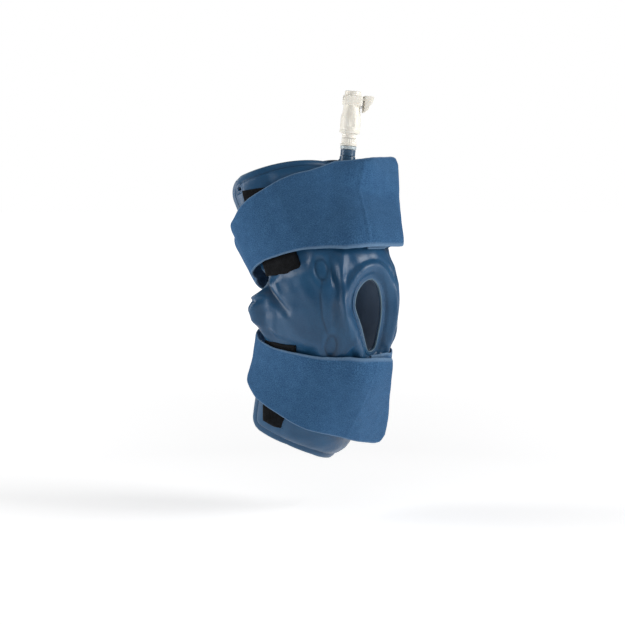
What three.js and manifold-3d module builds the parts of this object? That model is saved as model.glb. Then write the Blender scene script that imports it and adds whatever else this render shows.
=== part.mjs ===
// Cold compression wrap for a knee, in the shape it takes on a leg bent by about sixty degrees.
// A welded water bladder covers the front of the thigh, knee and calf. Hook pads lie on its wings,
// two shaped straps go round the leg with free ends that peel away, and a tube stub carries a
// quick-disconnect coupling with a sprung valve and a sprung thumb latch.
//
// Millimetres. +Z is up, the kneecap faces -Y and the wearer's right is -X. The origin is the middle
// of the knee. Most pieces lie on the skin of a leg, in three measures: `around` is the angle round
// the leg in degrees, 0 at the front and positive towards -X; `along` is the distance up the leg's
// axis, negative down the calf; `off` is the distance out from the skin.
import * as THREE from "three";
import Module from "manifold-3d";
import { mergeVertices } from "three/addons/utils/BufferGeometryUtils.js";

const wasm = await Module();
wasm.setup();

// ---- The leg -----------------------------------------------------------------------------------
const THIGH_LEAN = 32.5; // degrees that the thigh leans back from upright
const CALF_LEAN = 28; // degrees that the calf leans back, going down
const BEND_HALF = 42; // the axis bends from this far below the knee centre to this far above
const SECTIONS = [
  { along: -150, front: 52, back: 47, side: 46 },
  { along: -100, front: 56, back: 49, side: 50 },
  { along: -60, front: 60, back: 38, side: 48 },
  { along: -30, front: 64, back: 38, side: 51 },
  { along: 0, front: 66, back: 44, side: 56 },
  { along: 30, front: 66, back: 48, side: 56 },
  { along: 60, front: 62, back: 56, side: 57 },
  { along: 100, front: 60, back: 62, side: 61 },
  { along: 160, front: 66, back: 72, side: 68 },
];

// ---- The bladder -------------------------------------------------------------------------------
const GAP = 0.3; // between pieces that touch
const LINER_OFF = 0.5;
const LINER_THICK = 1.5;
const PANEL_OFF = LINER_OFF + LINER_THICK + 0.4;
const FLANGE_OFF = 4; // outer face of the welded rim
const FULL_OFF = 10.5; // outer face where the bladder is full
const WING_OFF = 6.5; // outer face on the flatter wings
const RIM_WIDTH = 14; // from the edge to full thickness
const BLADDER_TOP = 113; // at the front; the wings reach WING_RISE higher
const WING_RISE = 11;
const BLADDER_BOTTOM = -128;
const KNEE_HALF = 26; // the knee section runs this far up and down
const CORNER_RADIUS = 16; // of the four wing corners
const WING_EDGE = [
  [-128, 81], [-100, 86], [-60, 98], [-26, 108], [-12, 114], [0, 115], [9, 112],
  [15, 104], [18, 90], [21, 86], [25, 88], [38, 93], [70, 92], [100, 90], [124, 88],
];
const LOBE = { around: 102, along: -4, wide: 12, tall: 11, rise: 9 }; // bulge behind the knee's side
const OPENING_TOP = 10; // kneecap opening: top, widest place and bottom along the axis
const OPENING_WIDEST = 0;
const OPENING_BOTTOM = -18;
const OPENING_HALF = 11; // half angle where it is widest
const OPENING_FOOT = 4.5; // half angle at its flat bottom

// ---- The hook pads -----------------------------------------------------------------------------
const PAD_OFF = WING_OFF + 0.7;
const PAD_THICK = 1.6;
const THIGH_PAD = { from: 55, to: 86, low: 20, high: 107 };
const CALF_PAD = { from: 60, to: 88, low: -102, high: -20 };

// ---- The straps --------------------------------------------------------------------------------
const STRAP_THICK = 3;
const STRAP_OFF = 11.5; // inner face over the full bladder
const STRAP_PAD_OFF = 9.6; // inner face over the hook pads
const STRAP_SKIN_OFF = 0.8; // inner face behind the leg
const LAYER_RISE = 6; // a strap's second layer lies this far outside its first
const TANGENT = 14; // degrees past the front where the strap leaves the leg for its corner
const CREASE_SLANT = 33; // degrees that the peel line moves round, from the knee side outward
const TAB_RADIUS = 9; // round corners of the free end
const TUBE_BUMP = 0.22; // share by which the thigh strap is lifted over the tube
const TUBE_AROUND = -15.5;
const THIGH_STRAP = {
  side: 1,
  near: [[0, 22], [30, 26], [60, 36], [100, 38], [180, 38]],
  far: [[0, 103], [30, 101], [60, 101], [90, 92], [115, 86], [180, 84]],
  corner: [43, 58],
  tabEnd: [42, 57.5],
  tab: [22, 109],
  bump: TUBE_BUMP,
};
const CALF_STRAP = {
  side: -1,
  near: [[0, 21], [30, 24], [60, 27], [90, 27], [180, 26]],
  far: [[0, 107], [30, 101], [45, 92], [60, 85], [80, 78], [100, 72], [180, 70]],
  corner: [41, 57],
  tabEnd: [35, 56],
  tab: [22, 117],
  bump: 0,
};

// ---- The inlet and its coupling ----------------------------------------------------------------
const PORT_ALONG = 99;
const PORT_FLANGE_RADIUS = 13;
const PORT_FLANGE_THICK = 1.8;
const STEM_AXIS = new THREE.Vector3(0.085, -0.03, 1).normalize();
const STEM_START = 14; // from the port's middle to the tube's lower end
const LATCH_YAW = -30; // degrees round the stem, the way the thumb pad faces
const TUBE_RADIUS = 7;
const TUBE_BORE = 4.6;
const TUBE_LENGTH = 6;
const COLLAR_RADIUS = 7.6;
const COLLAR_HEIGHT = 3;
const BARB_RADIUS = 4.2;
const BARB_BORE = 2.8;
const NECK_RADIUS = 6.9;
const BODY_RADIUS = 9.3;
const HEAD_RADIUS = 7.6;
const CHAMBER_RADIUS = 5.4;
const SOCKET_RADIUS = 5.2;
const SEAT_RADIUS = 3.4;
const LATCH_TRAVEL = 2.2;
const LATCH_THICK = 2.6;
const PAD_REACH = 20; // from the stem's axis to the outside of the thumb pad
const PAD_DROP = 12; // from the latch plate down to the foot of the thumb pad
const ROUND = 20; // sides of a round piece

// Heights on the stem, from the tube's lower end.
const COLLAR_Z = TUBE_LENGTH + GAP;
const NECK_Z = COLLAR_Z + COLLAR_HEIGHT + GAP;
const SHOULDER_Z = NECK_Z + 12.2;
const BODY_TOP_Z = SHOULDER_Z + 13.7;
const HEAD_Z = BODY_TOP_Z + 9.5; // the body tapers up to the head
const TOP_Z = HEAD_Z + 15.5;
const LATCH_Z = TOP_Z - 7;
const SEAT_Z = SHOULDER_Z + 14.4;
const CHAMBER_Z = NECK_Z + 7;

// ---- Materials ---------------------------------------------------------------------------------
const finish = (color, roughness, metalness = 0) =>
  new THREE.MeshStandardMaterial({ color, roughness, metalness });
const bladderFilm = finish(0x2f5f86, 0.42);
const linerCloth = finish(0x274d70, 0.9);
const strapLoop = finish(0x3a5f8f, 0.95);
const hookTape = finish(0x1b1d20, 0.85);
const blueTube = finish(0x27547f, 0.4);
const whitePlastic = finish(0xe9e4d6, 0.45);
const clearSleeve = finish(0xcfdde2, 0.25);
const steel = finish(0xb9bcc0, 0.3, 1);
const sealRubber = finish(0x2a2a2c, 0.7);

// ---- The skin's formula ------------------------------------------------------------------------
const radians = THREE.MathUtils.degToRad;
const mix = THREE.MathUtils.lerp;
const clamp = THREE.MathUtils.clamp;
const ease = (x) => THREE.MathUtils.smoothstep(x, 0, 1);
const gauss = (x, y) => Math.exp(-x * x - y * y);

// Straight lines between the points of a list of [place, value].
function along(list, x) {
  const last = list.length - 1;
  const i = clamp(list.findIndex(([place]) => place >= x), 1, last) || last;
  const [[x0, y0], [x1, y1]] = [list[i - 1], list[i]];
  return mix(y0, y1, clamp((x - x0) / (x1 - x0), 0, 1));
}

// Lean of the leg's axis in radians: back from upright, going up.
function lean(s) {
  return radians(mix(-CALF_LEAN, THIGH_LEAN, ease((s + BEND_HALF) / (2 * BEND_HALF))));
}

// A point on the leg's axis, found by walking from the knee in short steps.
function axisPoint(s) {
  const steps = 24;
  const point = new THREE.Vector3();
  for (let i = 0; i < steps; i += 1) {
    const angle = lean((s * (i + 0.5)) / steps);
    point.y += (Math.sin(angle) * s) / steps;
    point.z += (Math.cos(angle) * s) / steps;
  }
  return point;
}

// A radius of the leg at a place along its axis, on a smooth curve through the sections.
function radius(key, s) {
  const places = SECTIONS.map((section) => section.along);
  const values = SECTIONS.map((section) => section[key]);
  const n = places.length;
  const slope = (i) => {
    const [a, b] = [Math.max(i - 1, 0), Math.min(i + 1, n - 1)];
    return (values[b] - values[a]) / (places[b] - places[a]);
  };
  const i = clamp(places.findIndex((place) => place > s) - 1, 0, n - 2);
  const h = places[i + 1] - places[i];
  const t = (s - places[i]) / h;
  const blendIn = ease(t);
  const start = t * (1 - t) * (1 - t) * h * slope(i);
  const end = t * t * (t - 1) * h * slope(i + 1);
  return mix(values[i], values[i + 1], blendIn) + start + end;
}

// The point at an angle round the leg, a place along it and a distance out. `swell` scales the
// section about the leg's axis, so straight lines across a section stay straight.
function skin(around, s, off, swell = 1) {
  const angle = radians(around);
  const facing = Math.cos(angle) > 0 ? "front" : "back";
  const forward = (radius(facing, s) + off) * swell * Math.cos(angle);
  const sideways = (radius("side", s) + off) * swell * Math.sin(angle);
  const point = axisPoint(s);
  point.x -= sideways;
  point.y -= forward * Math.cos(lean(s));
  point.z += forward * Math.sin(lean(s));
  return point;
}

// ---- Solids ------------------------------------------------------------------------------------
function geometryOf(points, faces) {
  const geometry = new THREE.BufferGeometry();
  geometry.setAttribute("position", new THREE.Float32BufferAttribute(points, 3));
  geometry.setIndex(faces);
  return geometry;
}

function signedVolume(points, faces) {
  const corner = (k) => new THREE.Vector3().fromArray(points, faces[k] * 3);
  let sum = 0;
  for (let k = 0; k < faces.length; k += 3) {
    sum += corner(k).dot(corner(k + 1).cross(corner(k + 2)));
  }
  return sum;
}

// A closed sheet with thickness: place(u, v, side) gives its inner (0) and outer (1) surfaces.
function sheet(columns, rows, place) {
  const points = [];
  const faces = [];
  const at = (side, i, j) => (side * (columns + 1) + i) * (rows + 1) + j;
  const quad = (a, b, c, d) => faces.push(a, b, c, a, c, d);
  for (const side of [0, 1]) {
    for (let i = 0; i <= columns; i += 1) {
      for (let j = 0; j <= rows; j += 1) {
        points.push(...place(i / columns, j / rows, side).toArray());
      }
    }
  }
  for (let i = 0; i < columns; i += 1) {
    for (let j = 0; j < rows; j += 1) {
      quad(at(1, i, j), at(1, i + 1, j), at(1, i + 1, j + 1), at(1, i, j + 1));
      quad(at(0, i, j), at(0, i, j + 1), at(0, i + 1, j + 1), at(0, i + 1, j));
    }
    quad(at(0, i, 0), at(0, i + 1, 0), at(1, i + 1, 0), at(1, i, 0));
    quad(at(0, i, rows), at(1, i, rows), at(1, i + 1, rows), at(0, i + 1, rows));
  }
  for (let j = 0; j < rows; j += 1) {
    quad(at(0, 0, j), at(1, 0, j), at(1, 0, j + 1), at(0, 0, j + 1));
    quad(at(0, columns, j), at(0, columns, j + 1), at(1, columns, j + 1), at(1, columns, j));
  }
  if (signedVolume(points, faces) < 0) faces.reverse();
  return geometryOf(points, faces);
}

function solid(geometry) {
  const plain = geometry.clone();
  plain.deleteAttribute("normal");
  plain.deleteAttribute("uv");
  const merged = mergeVertices(plain, 1e-4);
  const vertProperties = new Float32Array(merged.attributes.position.array);
  const triVerts = new Uint32Array(merged.index.array);
  return new wasm.Manifold(new wasm.Mesh({ numProp: 3, vertProperties, triVerts }));
}

function geometryFrom(shape) {
  const mesh = shape.getMesh();
  return geometryOf(Array.from(mesh.vertProperties), Array.from(mesh.triVerts));
}

const subtract = (geometry, ...cuts) =>
  geometryFrom(cuts.reduce((shape, cut) => shape.subtract(solid(cut)), solid(geometry)));

const join = (geometry, ...more) =>
  geometryFrom(more.reduce((shape, piece) => shape.add(solid(piece)), solid(geometry)));

// A turned piece about +Z from its [radius, height] profile, listed anticlockwise.
function turned(profile, sides = ROUND) {
  const points = [...profile, profile[0]].map(([r, z]) => new THREE.Vector2(r, z));
  return new THREE.LatheGeometry(points, sides).rotateX(Math.PI / 2);
}

const ring = (outer, inner, low, high, sides = ROUND) =>
  turned([[inner, low], [outer, low], [outer, high], [inner, high]], sides);

const rod = (r, low, high, sides = ROUND) =>
  new THREE.CylinderGeometry(r, r, high - low, sides)
    .rotateX(Math.PI / 2)
    .translate(0, 0, (low + high) / 2);

const block = (x0, x1, y0, y1, z0, z1) =>
  new THREE.BoxGeometry(x1 - x0, y1 - y0, z1 - z0)
    .translate((x0 + x1) / 2, (y0 + y1) / 2, (z0 + z1) / 2);

// A coil spring about +Z.
function coil(r, wire, low, high, turns) {
  class Helix extends THREE.Curve {
    getPoint(t, target = new THREE.Vector3()) {
      const angle = turns * 2 * Math.PI * t;
      const z = mix(low + wire, high - wire, t);
      return target.set(r * Math.cos(angle), r * Math.sin(angle), z);
    }
  }
  const section = new THREE.Shape();
  section.absarc(0, 0, wire, 0, 2 * Math.PI);
  return new THREE.ExtrudeGeometry(section, {
    steps: turns * 10,
    extrudePath: new Helix(),
    curveSegments: 3,
  });
}

const wrap = new THREE.Group();

function add(name, geometry, material, parent = wrap) {
  const mesh = new THREE.Mesh(geometry, material);
  mesh.name = name;
  parent.add(mesh);
}

// ---- Bladder sections --------------------------------------------------------------------------
// Half angle of the bladder at a place along the leg, drawn in at the four round corners.
function wingEdge(s) {
  const toEnd = Math.min(BLADDER_TOP + WING_RISE - s, s - BLADDER_BOTTOM);
  const x = clamp(1 - toEnd / CORNER_RADIUS, 0, 1);
  const drawnIn = CORNER_RADIUS * (1 - Math.sqrt(1 - x * x));
  return along(WING_EDGE, s) - drawnIn;
}

// Outer face of the bladder: full in front, flatter on the wings, thin at the welded rim.
function panelOff(around, s, edge) {
  const bulge = gauss((Math.abs(around) - LOBE.around) / LOBE.wide, (s - LOBE.along) / LOBE.tall);
  const flat = mix(FULL_OFF, WING_OFF, ease((Math.abs(around) - 39) / 12));
  const full = flat + LOBE.rise * bulge;
  const across = edge - Math.abs(around);
  const lengthways = Math.min(BLADDER_TOP + WING_RISE - s, s - BLADDER_BOTTOM);
  return mix(FLANGE_OFF, full, ease(Math.min(across, lengthways) / RIM_WIDTH));
}

// One section of the bladder between two places along the leg, as a liner or an outer panel.
function bladderSection(low, high, rows, spacing, isPanel) {
  const columns = 24;
  return sheet(columns, rows, (u, v, side) => {
    const s = mix(low, high, spacing(v));
    const edge = wingEdge(s);
    const around = edge * (2 * u - 1);
    const dip = WING_RISE * (1 - Math.min(Math.abs(around) / 70, 1));
    const shape = s - dip * ease((s - KNEE_HALF) / (BLADDER_TOP - KNEE_HALF));
    if (!isPanel) return skin(around, shape, side ? LINER_OFF + LINER_THICK : LINER_OFF);
    return skin(around, shape, side ? panelOff(around, s, edge) : PANEL_OFF);
  });
}

// Half angle of the teardrop kneecap opening at a place along the leg.
function openingHalf(s) {
  if (s > OPENING_WIDEST) {
    const x = (s - OPENING_WIDEST) / (OPENING_TOP - OPENING_WIDEST);
    return Math.max(OPENING_HALF * Math.sqrt(1 - x * x), 0.6);
  }
  const x = (OPENING_WIDEST - s) / (OPENING_WIDEST - OPENING_BOTTOM);
  return mix(OPENING_HALF, OPENING_FOOT, ease(x));
}

function kneecapPlug() {
  return sheet(4, 14, (u, v, side) => {
    const s = mix(OPENING_BOTTOM, OPENING_TOP, Math.sin((v * Math.PI) / 2));
    return skin(openingHalf(s) * (2 * u - 1), s, side ? FULL_OFF + 8 : LINER_OFF - 6);
  });
}

function addBladder() {
  const top = BLADDER_TOP + WING_RISE;
  const plug = kneecapPlug();
  const denseHigh = (v) => Math.sin((v * Math.PI) / 2);
  const denseLow = (v) => 1 - Math.cos((v * Math.PI) / 2);
  for (const [kind, isPanel, material] of [
    ["outer_panel", true, bladderFilm],
    ["inner_liner", false, linerCloth],
  ]) {
    const thigh = bladderSection(KNEE_HALF + GAP / 2, top, 9, denseHigh, isPanel);
    const knee = bladderSection(GAP / 2 - KNEE_HALF, KNEE_HALF - GAP / 2, 12, (v) => v, isPanel);
    const calf = bladderSection(BLADDER_BOTTOM, -KNEE_HALF - GAP / 2, 9, denseLow, isPanel);
    add(`thigh_${kind}`, thigh, material);
    add(`knee_${kind}`, subtract(knee, plug), material);
    add(`calf_${kind}`, calf, material);
  }
}

// ---- Hook pads ---------------------------------------------------------------------------------
function addHookPads() {
  for (const [part, pad] of [["thigh", THIGH_PAD], ["calf", CALF_PAD]]) {
    for (const [where, sign] of [["lateral", 1], ["medial", -1]]) {
      const geometry = sheet(5, 7, (u, v, side) => {
        const s = mix(pad.low, pad.high, v);
        const to = Math.min(pad.to, along(WING_EDGE, s) - 4);
        return skin(sign * mix(pad.from, to, u), s, PAD_OFF + side * PAD_THICK);
      });
      add(`${part}_hook_pad_${where}`, geometry, hookTape);
    }
  }
}

// ---- Straps ------------------------------------------------------------------------------------
// Inner face of a strap's first layer at an angle from the front, 0 to 180: over the bladder and
// the hook pad, then down to the skin behind the wing's edge.
function strapOff(angle, s) {
  const overWing = mix(STRAP_OFF, STRAP_PAD_OFF, ease((angle - 46) / 14));
  const edge = along(WING_EDGE, s);
  return mix(overWing, STRAP_SKIN_OFF, ease((angle - edge - 3) / 22));
}

// Swell of the straight line between two points given as [degrees round, swell].
function chord(around, [a, swellA], [b, swellB]) {
  if (around > Math.max(a, b) || around < Math.min(a, b)) return 1;
  const part = (x, y) => Math.sin(radians(Math.abs(x - y)));
  return (swellA * swellB * part(a, b)) / (swellA * part(around, a) + swellB * part(b, around));
}

// Share of the way from a strap's edge near the knee to its far edge.
const share = (strap, s) => clamp(THREE.MathUtils.inverseLerp(...strap.tab, Math.abs(s)), 0, 1);

// How far a strap stands out from the leg: over the tube, then straight to its corner and back.
function strapSwell(strap, around, s) {
  const level = share(strap, s);
  const cornerAt = -mix(...strap.corner, level);
  const reach = -cornerAt - TANGENT;
  const corner = [cornerAt, 1 / Math.cos(radians(reach))];
  const tube = [TUBE_AROUND, 1 + strap.bump * ease((level - 0.5) / 0.35)];
  const front = chord(around, [25, 1], tube);
  const out = chord(around, tube, corner);
  const back = chord(around, corner, [cornerAt - reach, 1]);
  return Math.max(1, front, out, back);
}

// The same with the corner rounded off.
function softSwell(strap, around, s) {
  const spread = [-6, -3, 0, 3, 6];
  const sum = spread.reduce((total, step) => total + strapSwell(strap, around + step, s), 0);
  return sum / spread.length;
}

// A strap's edges near to and far from the knee. Its outer layer flares towards the free end.
function strapEdges(strap, around, outerLayer) {
  const angle = Math.abs(around);
  const edges = [along(strap.near, angle), along(strap.far, angle)];
  if (!outerLayer || around > 0) return edges;
  return strap.tab.map((end, i) => mix([strap.near, strap.far][i][0][1], end, ease((angle - 8) / 40)));
}

const crease = (v) => -CREASE_SLANT * v;
const denseNear = (v) => v * (0.6 + 0.4 * v);

// The strap's fixed part: from under the free end, round the inside and the back of the leg, and
// over the front to the peel line.
function strapBand(strap) {
  return sheet(48, 6, (u, row, side) => {
    const v = denseNear(row);
    const turned = crease(v) - mix(0, 360, u);
    const around = turned < -180 ? turned + 360 : turned;
    const s = strap.side * mix(...strapEdges(strap, around, u > 0.5), v);
    const rise = LAYER_RISE * ease((u - 0.9) / 0.08);
    const off = strapOff(Math.abs(around), s) + rise + side * STRAP_THICK;
    return skin(around, s, off, softSwell(strap, around, s));
  });
}

// The free end, from the peel line to its rounded corners.
function strapTab(strap) {
  return sheet(8, 6, (u, row, side) => {
    const v = denseNear(row);
    const outward = Math.sin((u * Math.PI) / 2);
    const around = mix(crease(v) - GAP, -mix(...strap.tabEnd, v), outward);
    const x = clamp(1 - (55 * (1 - outward)) / TAB_RADIUS, 0, 1);
    const drawnIn = TAB_RADIUS * (1 - Math.sqrt(1 - x * x));
    const [near, far] = strapEdges(strap, around, true);
    const s = strap.side * mix(near + drawnIn, far - drawnIn, v);
    const off = STRAP_OFF + LAYER_RISE + side * STRAP_THICK;
    return skin(around, s, off, strapSwell(strap, around, s));
  });
}

// The hook strip under the free end, which grips the strap's first layer.
function tabHook(strap) {
  return sheet(3, 6, (u, row, side) => {
    const v = mix(0.12, 0.88, row);
    const s = strap.side * mix(...strap.tab, v);
    const around = mix(15, 4, u) - mix(...strap.tabEnd, v);
    const off = STRAP_OFF + STRAP_THICK + 0.8 + side * (LAYER_RISE - STRAP_THICK - 1.6);
    return skin(around, s, off, strapSwell(strap, around, s));
  });
}

function addStraps() {
  for (const [part, strap] of [["thigh", THIGH_STRAP], ["calf", CALF_STRAP]]) {
    add(`${part}_strap_band`, strapBand(strap), strapLoop);
    add(`${part}_strap_tab`, strapTab(strap), strapLoop);
    add(`${part}_tab_hook`, tabHook(strap), hookTape);
  }
}

// ---- Inlet and coupling ------------------------------------------------------------------------
// A group whose +Z is the given direction, with its +X turned by a yaw in degrees.
function frameAt(origin, direction, yaw) {
  const group = new THREE.Group();
  const up = direction.clone().normalize();
  const ahead = new THREE.Vector3(Math.cos(radians(yaw)), Math.sin(radians(yaw)), 0);
  const across = up.clone().cross(ahead).normalize();
  ahead.crossVectors(across, up);
  group.matrix.makeBasis(ahead, across, up).setPosition(origin);
  group.matrix.decompose(group.position, group.quaternion, group.scale);
  wrap.add(group);
  return group;
}

const portPoint = skin(TUBE_AROUND, PORT_ALONG, FULL_OFF + GAP + 0.4);
const portNormal = skin(TUBE_AROUND, PORT_ALONG, 20).sub(skin(TUBE_AROUND, PORT_ALONG, 0));

// The welded port: a thin flange on the bladder and a boss and nipple that point up the stem.
function addPort() {
  const stem = frameAt(portPoint, STEM_AXIS, LATCH_YAW);
  const face = frameAt(portPoint, portNormal, LATCH_YAW);
  stem.updateMatrixWorld();
  face.updateMatrixWorld();
  const toStem = stem.matrixWorld.clone().invert().multiply(face.matrixWorld);
  const flange = rod(PORT_FLANGE_RADIUS, 0, PORT_FLANGE_THICK, 24).applyMatrix4(toStem);
  const below = block(-60, 60, -60, 60, -60, 0).applyMatrix4(toStem);
  const boss = rod(TUBE_RADIUS + 0.6, -12, STEM_START - GAP);
  const nipple = rod(BARB_RADIUS, 0, STEM_START + 1);
  const bore = rod(BARB_BORE, 3, STEM_START + 3);
  add("inlet_port", subtract(join(boss, flange, nipple), below, bore), blueTube, stem);
}

function couplingBody() {
  const shell = turned([
    [0, CHAMBER_Z],
    [NECK_RADIUS, CHAMBER_Z],
    [NECK_RADIUS, SHOULDER_Z - 1],
    [BODY_RADIUS, SHOULDER_Z + 3],
    [BODY_RADIUS, BODY_TOP_Z],
    [HEAD_RADIUS, HEAD_Z],
    [HEAD_RADIUS, TOP_Z],
    [0, TOP_Z],
  ]);
  const [wide, tall] = [HEAD_RADIUS + 0.6, LATCH_THICK / 2 + 1.6];
  const cheeks = block(-wide, wide, -wide, wide, LATCH_Z - tall, LATCH_Z + tall);
  const chamber = rod(CHAMBER_RADIUS, CHAMBER_Z - 5, SEAT_Z - 1.6);
  const seat = rod(SEAT_RADIUS, CHAMBER_Z, SEAT_Z + 2);
  const socket = rod(SOCKET_RADIUS, SEAT_Z, TOP_Z + 5);
  const slotHalf = HEAD_RADIUS - 1.6;
  const [slotLow, slotHigh] = [LATCH_Z - LATCH_THICK / 2 - GAP, LATCH_Z + LATCH_THICK / 2 + GAP];
  const slot = block(-HEAD_RADIUS - 4, HEAD_RADIUS + 4, -slotHalf, slotHalf, slotLow, slotHigh);
  return subtract(join(shell, cheeks), chamber, seat, socket, slot);
}

// The barbed insert: its spigot fills the tube, and its top closes the valve chamber.
function hoseBarb() {
  const foot = TUBE_LENGTH - 4.5;
  return turned([
    [BARB_BORE, foot],
    [BARB_RADIUS - 0.9, foot],
    [BARB_RADIUS, foot + 2],
    [BARB_RADIUS - 0.7, foot + 2.2],
    [BARB_RADIUS, foot + 4.2],
    [BARB_RADIUS - 0.7, foot + 4.4],
    [BARB_RADIUS - 0.7, NECK_Z],
    [COLLAR_RADIUS + 0.2, NECK_Z],
    [COLLAR_RADIUS + 0.2, NECK_Z + 1.2],
    [NECK_RADIUS - 0.3, NECK_Z + 1.2],
    [NECK_RADIUS - 0.3, CHAMBER_Z - GAP],
    [BARB_BORE, CHAMBER_Z - GAP],
  ]);
}

// The latch: a plate with an oval hole round the plug, and a wedge-shaped thumb pad.
function latchPlate() {
  const half = HEAD_RADIUS - 1.6 - GAP;
  const [low, high] = [LATCH_Z - LATCH_THICK / 2, LATCH_Z + LATCH_THICK / 2];
  const plate = block(-HEAD_RADIUS - 0.4, PAD_REACH - 3, -half, half, low, high);
  const outline = new THREE.Shape();
  outline.moveTo(HEAD_RADIUS + 1 + LATCH_TRAVEL, LATCH_Z + 3.5);
  outline.lineTo(PAD_REACH - 1, LATCH_Z + 3.5);
  outline.quadraticCurveTo(PAD_REACH + 0.5, LATCH_Z + 1, PAD_REACH - 2, LATCH_Z - 3);
  outline.lineTo(HEAD_RADIUS + 5, LATCH_Z - PAD_DROP);
  outline.lineTo(HEAD_RADIUS + 1 + LATCH_TRAVEL, LATCH_Z - PAD_DROP);
  const wedge = new THREE.ExtrudeGeometry(outline, {
    depth: 2 * half + 3,
    bevelEnabled: false,
    curveSegments: 5,
  });
  wedge.rotateX(Math.PI / 2).translate(0, half + 1.5, 0);
  const hole = rod(SOCKET_RADIUS, low - 1, high + 1).scale(1.12, 1, 1).translate(-0.6, 0, 0);
  return subtract(join(plate, wedge), hole);
}

// The small spring that pushes the latch out, between the head and the thumb pad.
function latchSpring() {
  const [from, to] = [HEAD_RADIUS + 0.9, HEAD_RADIUS + 1 + LATCH_TRAVEL - 0.2];
  return coil(1.5, 0.25, from, to, 3)
    .rotateY(Math.PI / 2)
    .translate(0, 0, LATCH_Z - 7);
}

// The poppet: a disc that lifts off its seat when the mating plug pushes the nose down.
function valvePoppet() {
  const top = SEAT_Z - 1.6 - GAP;
  return turned([
    [0, top - 5],
    [1.4, top - 5],
    [1.4, top - 2.4],
    [SEAT_RADIUS + 1.1, top - 2.4],
    [SEAT_RADIUS + 1.1, top - 1.2],
    [2.1, top - 1.2],
    [2.1, SEAT_Z + 1.5],
    [0, SEAT_Z + 1.5],
  ]);
}

function addCoupling() {
  const start = portPoint.clone().addScaledVector(STEM_AXIS, STEM_START);
  const stem = frameAt(start, STEM_AXIS, LATCH_YAW);
  const poppetUnder = SEAT_Z - 1.6 - GAP - 2.4;
  const sealZ = SEAT_Z - 1.6 - GAP - 0.6;
  add("inlet_tube", ring(TUBE_RADIUS, TUBE_BORE, 0, TUBE_LENGTH), blueTube, stem);
  add("tube_sleeve", ring(COLLAR_RADIUS, TUBE_BORE, COLLAR_Z, COLLAR_Z + COLLAR_HEIGHT),
    clearSleeve, stem);
  add("hose_barb", hoseBarb(), whitePlastic, stem);
  add("coupling_body", couplingBody(), whitePlastic, stem);
  add("thumb_latch", latchPlate(), whitePlastic, stem);
  add("latch_spring", latchSpring(), steel, stem);
  add("valve_poppet", valvePoppet(), whitePlastic, stem);
  add("valve_seal", ring(SEAT_RADIUS + 1, 2.4, sealZ - 0.3, sealZ + 0.5), sealRubber, stem);
  add("valve_spring", coil(2.9, 0.4, CHAMBER_Z + 0.1, poppetUnder - 0.2, 5), steel, stem);
  add("socket_seal", ring(SOCKET_RADIUS - 0.3, SOCKET_RADIUS - 1.5, SEAT_Z + 0.3, SEAT_Z + 2),
    sealRubber, stem);
}

addBladder();
addHookPads();
addStraps();
addPort();
addCoupling();

export default wrap;
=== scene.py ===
"""Looks of a cold compression wrap for a knee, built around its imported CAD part.

Pieces lie on the skin of a leg, as the CAD ones do. `around` is the angle round the leg in
degrees, 0 at the front and positive towards -X; `along` (or s) is the distance up the leg's axis in
millimetres, negative down the calf; `off` is the distance out from the skin. Lengths are
millimetres until a mesh is made, which is in metres.
"""

import math

import bmesh
import bpy
import numpy as np
from mathutils import Matrix, Vector
from mathutils.kdtree import KDTree


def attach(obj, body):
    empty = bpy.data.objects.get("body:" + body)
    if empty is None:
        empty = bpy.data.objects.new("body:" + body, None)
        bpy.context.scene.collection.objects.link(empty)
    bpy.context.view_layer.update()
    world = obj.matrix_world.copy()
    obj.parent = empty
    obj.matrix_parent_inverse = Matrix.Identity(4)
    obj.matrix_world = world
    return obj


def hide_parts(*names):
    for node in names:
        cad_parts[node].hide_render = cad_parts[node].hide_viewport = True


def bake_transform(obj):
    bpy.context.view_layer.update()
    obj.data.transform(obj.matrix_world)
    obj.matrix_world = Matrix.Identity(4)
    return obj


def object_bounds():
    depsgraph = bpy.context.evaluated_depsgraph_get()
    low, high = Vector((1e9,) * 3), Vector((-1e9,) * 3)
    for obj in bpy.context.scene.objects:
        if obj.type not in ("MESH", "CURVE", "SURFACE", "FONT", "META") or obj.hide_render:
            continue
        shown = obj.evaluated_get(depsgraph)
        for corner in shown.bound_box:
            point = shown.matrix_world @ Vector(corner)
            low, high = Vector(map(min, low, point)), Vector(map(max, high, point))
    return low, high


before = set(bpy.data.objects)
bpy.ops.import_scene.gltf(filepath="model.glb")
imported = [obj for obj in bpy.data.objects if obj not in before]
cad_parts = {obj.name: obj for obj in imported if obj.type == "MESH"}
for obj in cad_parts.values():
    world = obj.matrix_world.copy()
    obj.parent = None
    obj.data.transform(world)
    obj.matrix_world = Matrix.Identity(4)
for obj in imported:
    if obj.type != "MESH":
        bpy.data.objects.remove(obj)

CAD_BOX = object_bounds()
MM = 0.001


# ---- The skin's formula ------------------------------------------------------------------------
THIGH_LEAN, CALF_LEAN = 32.5, 28  # degrees from upright
BEND_HALF = 42  # the leg bends over this length on each side of the knee
# the leg's radii at places along it
PLACES = np.array([-150, -100, -60, -30, 0, 30, 60, 100, 160], float)
RADII = {
    "front": np.array([52, 56, 60, 64, 66, 66, 62, 60, 66], float),
    "back": np.array([47, 49, 38, 38, 44, 48, 56, 62, 72], float),
    "side": np.array([46, 50, 48, 51, 56, 56, 57, 61, 68], float),
}
PER_DEGREE = 1.12  # millimetres round the leg for one degree


def ease(x):
    x = np.clip(x, 0, 1)
    return x * x * (3 - 2 * x)


def mix(a, b, t):
    return a + (b - a) * t


def lean(s):
    return np.radians(mix(-CALF_LEAN, THIGH_LEAN, ease((s + BEND_HALF) / (2 * BEND_HALF))))


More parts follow.
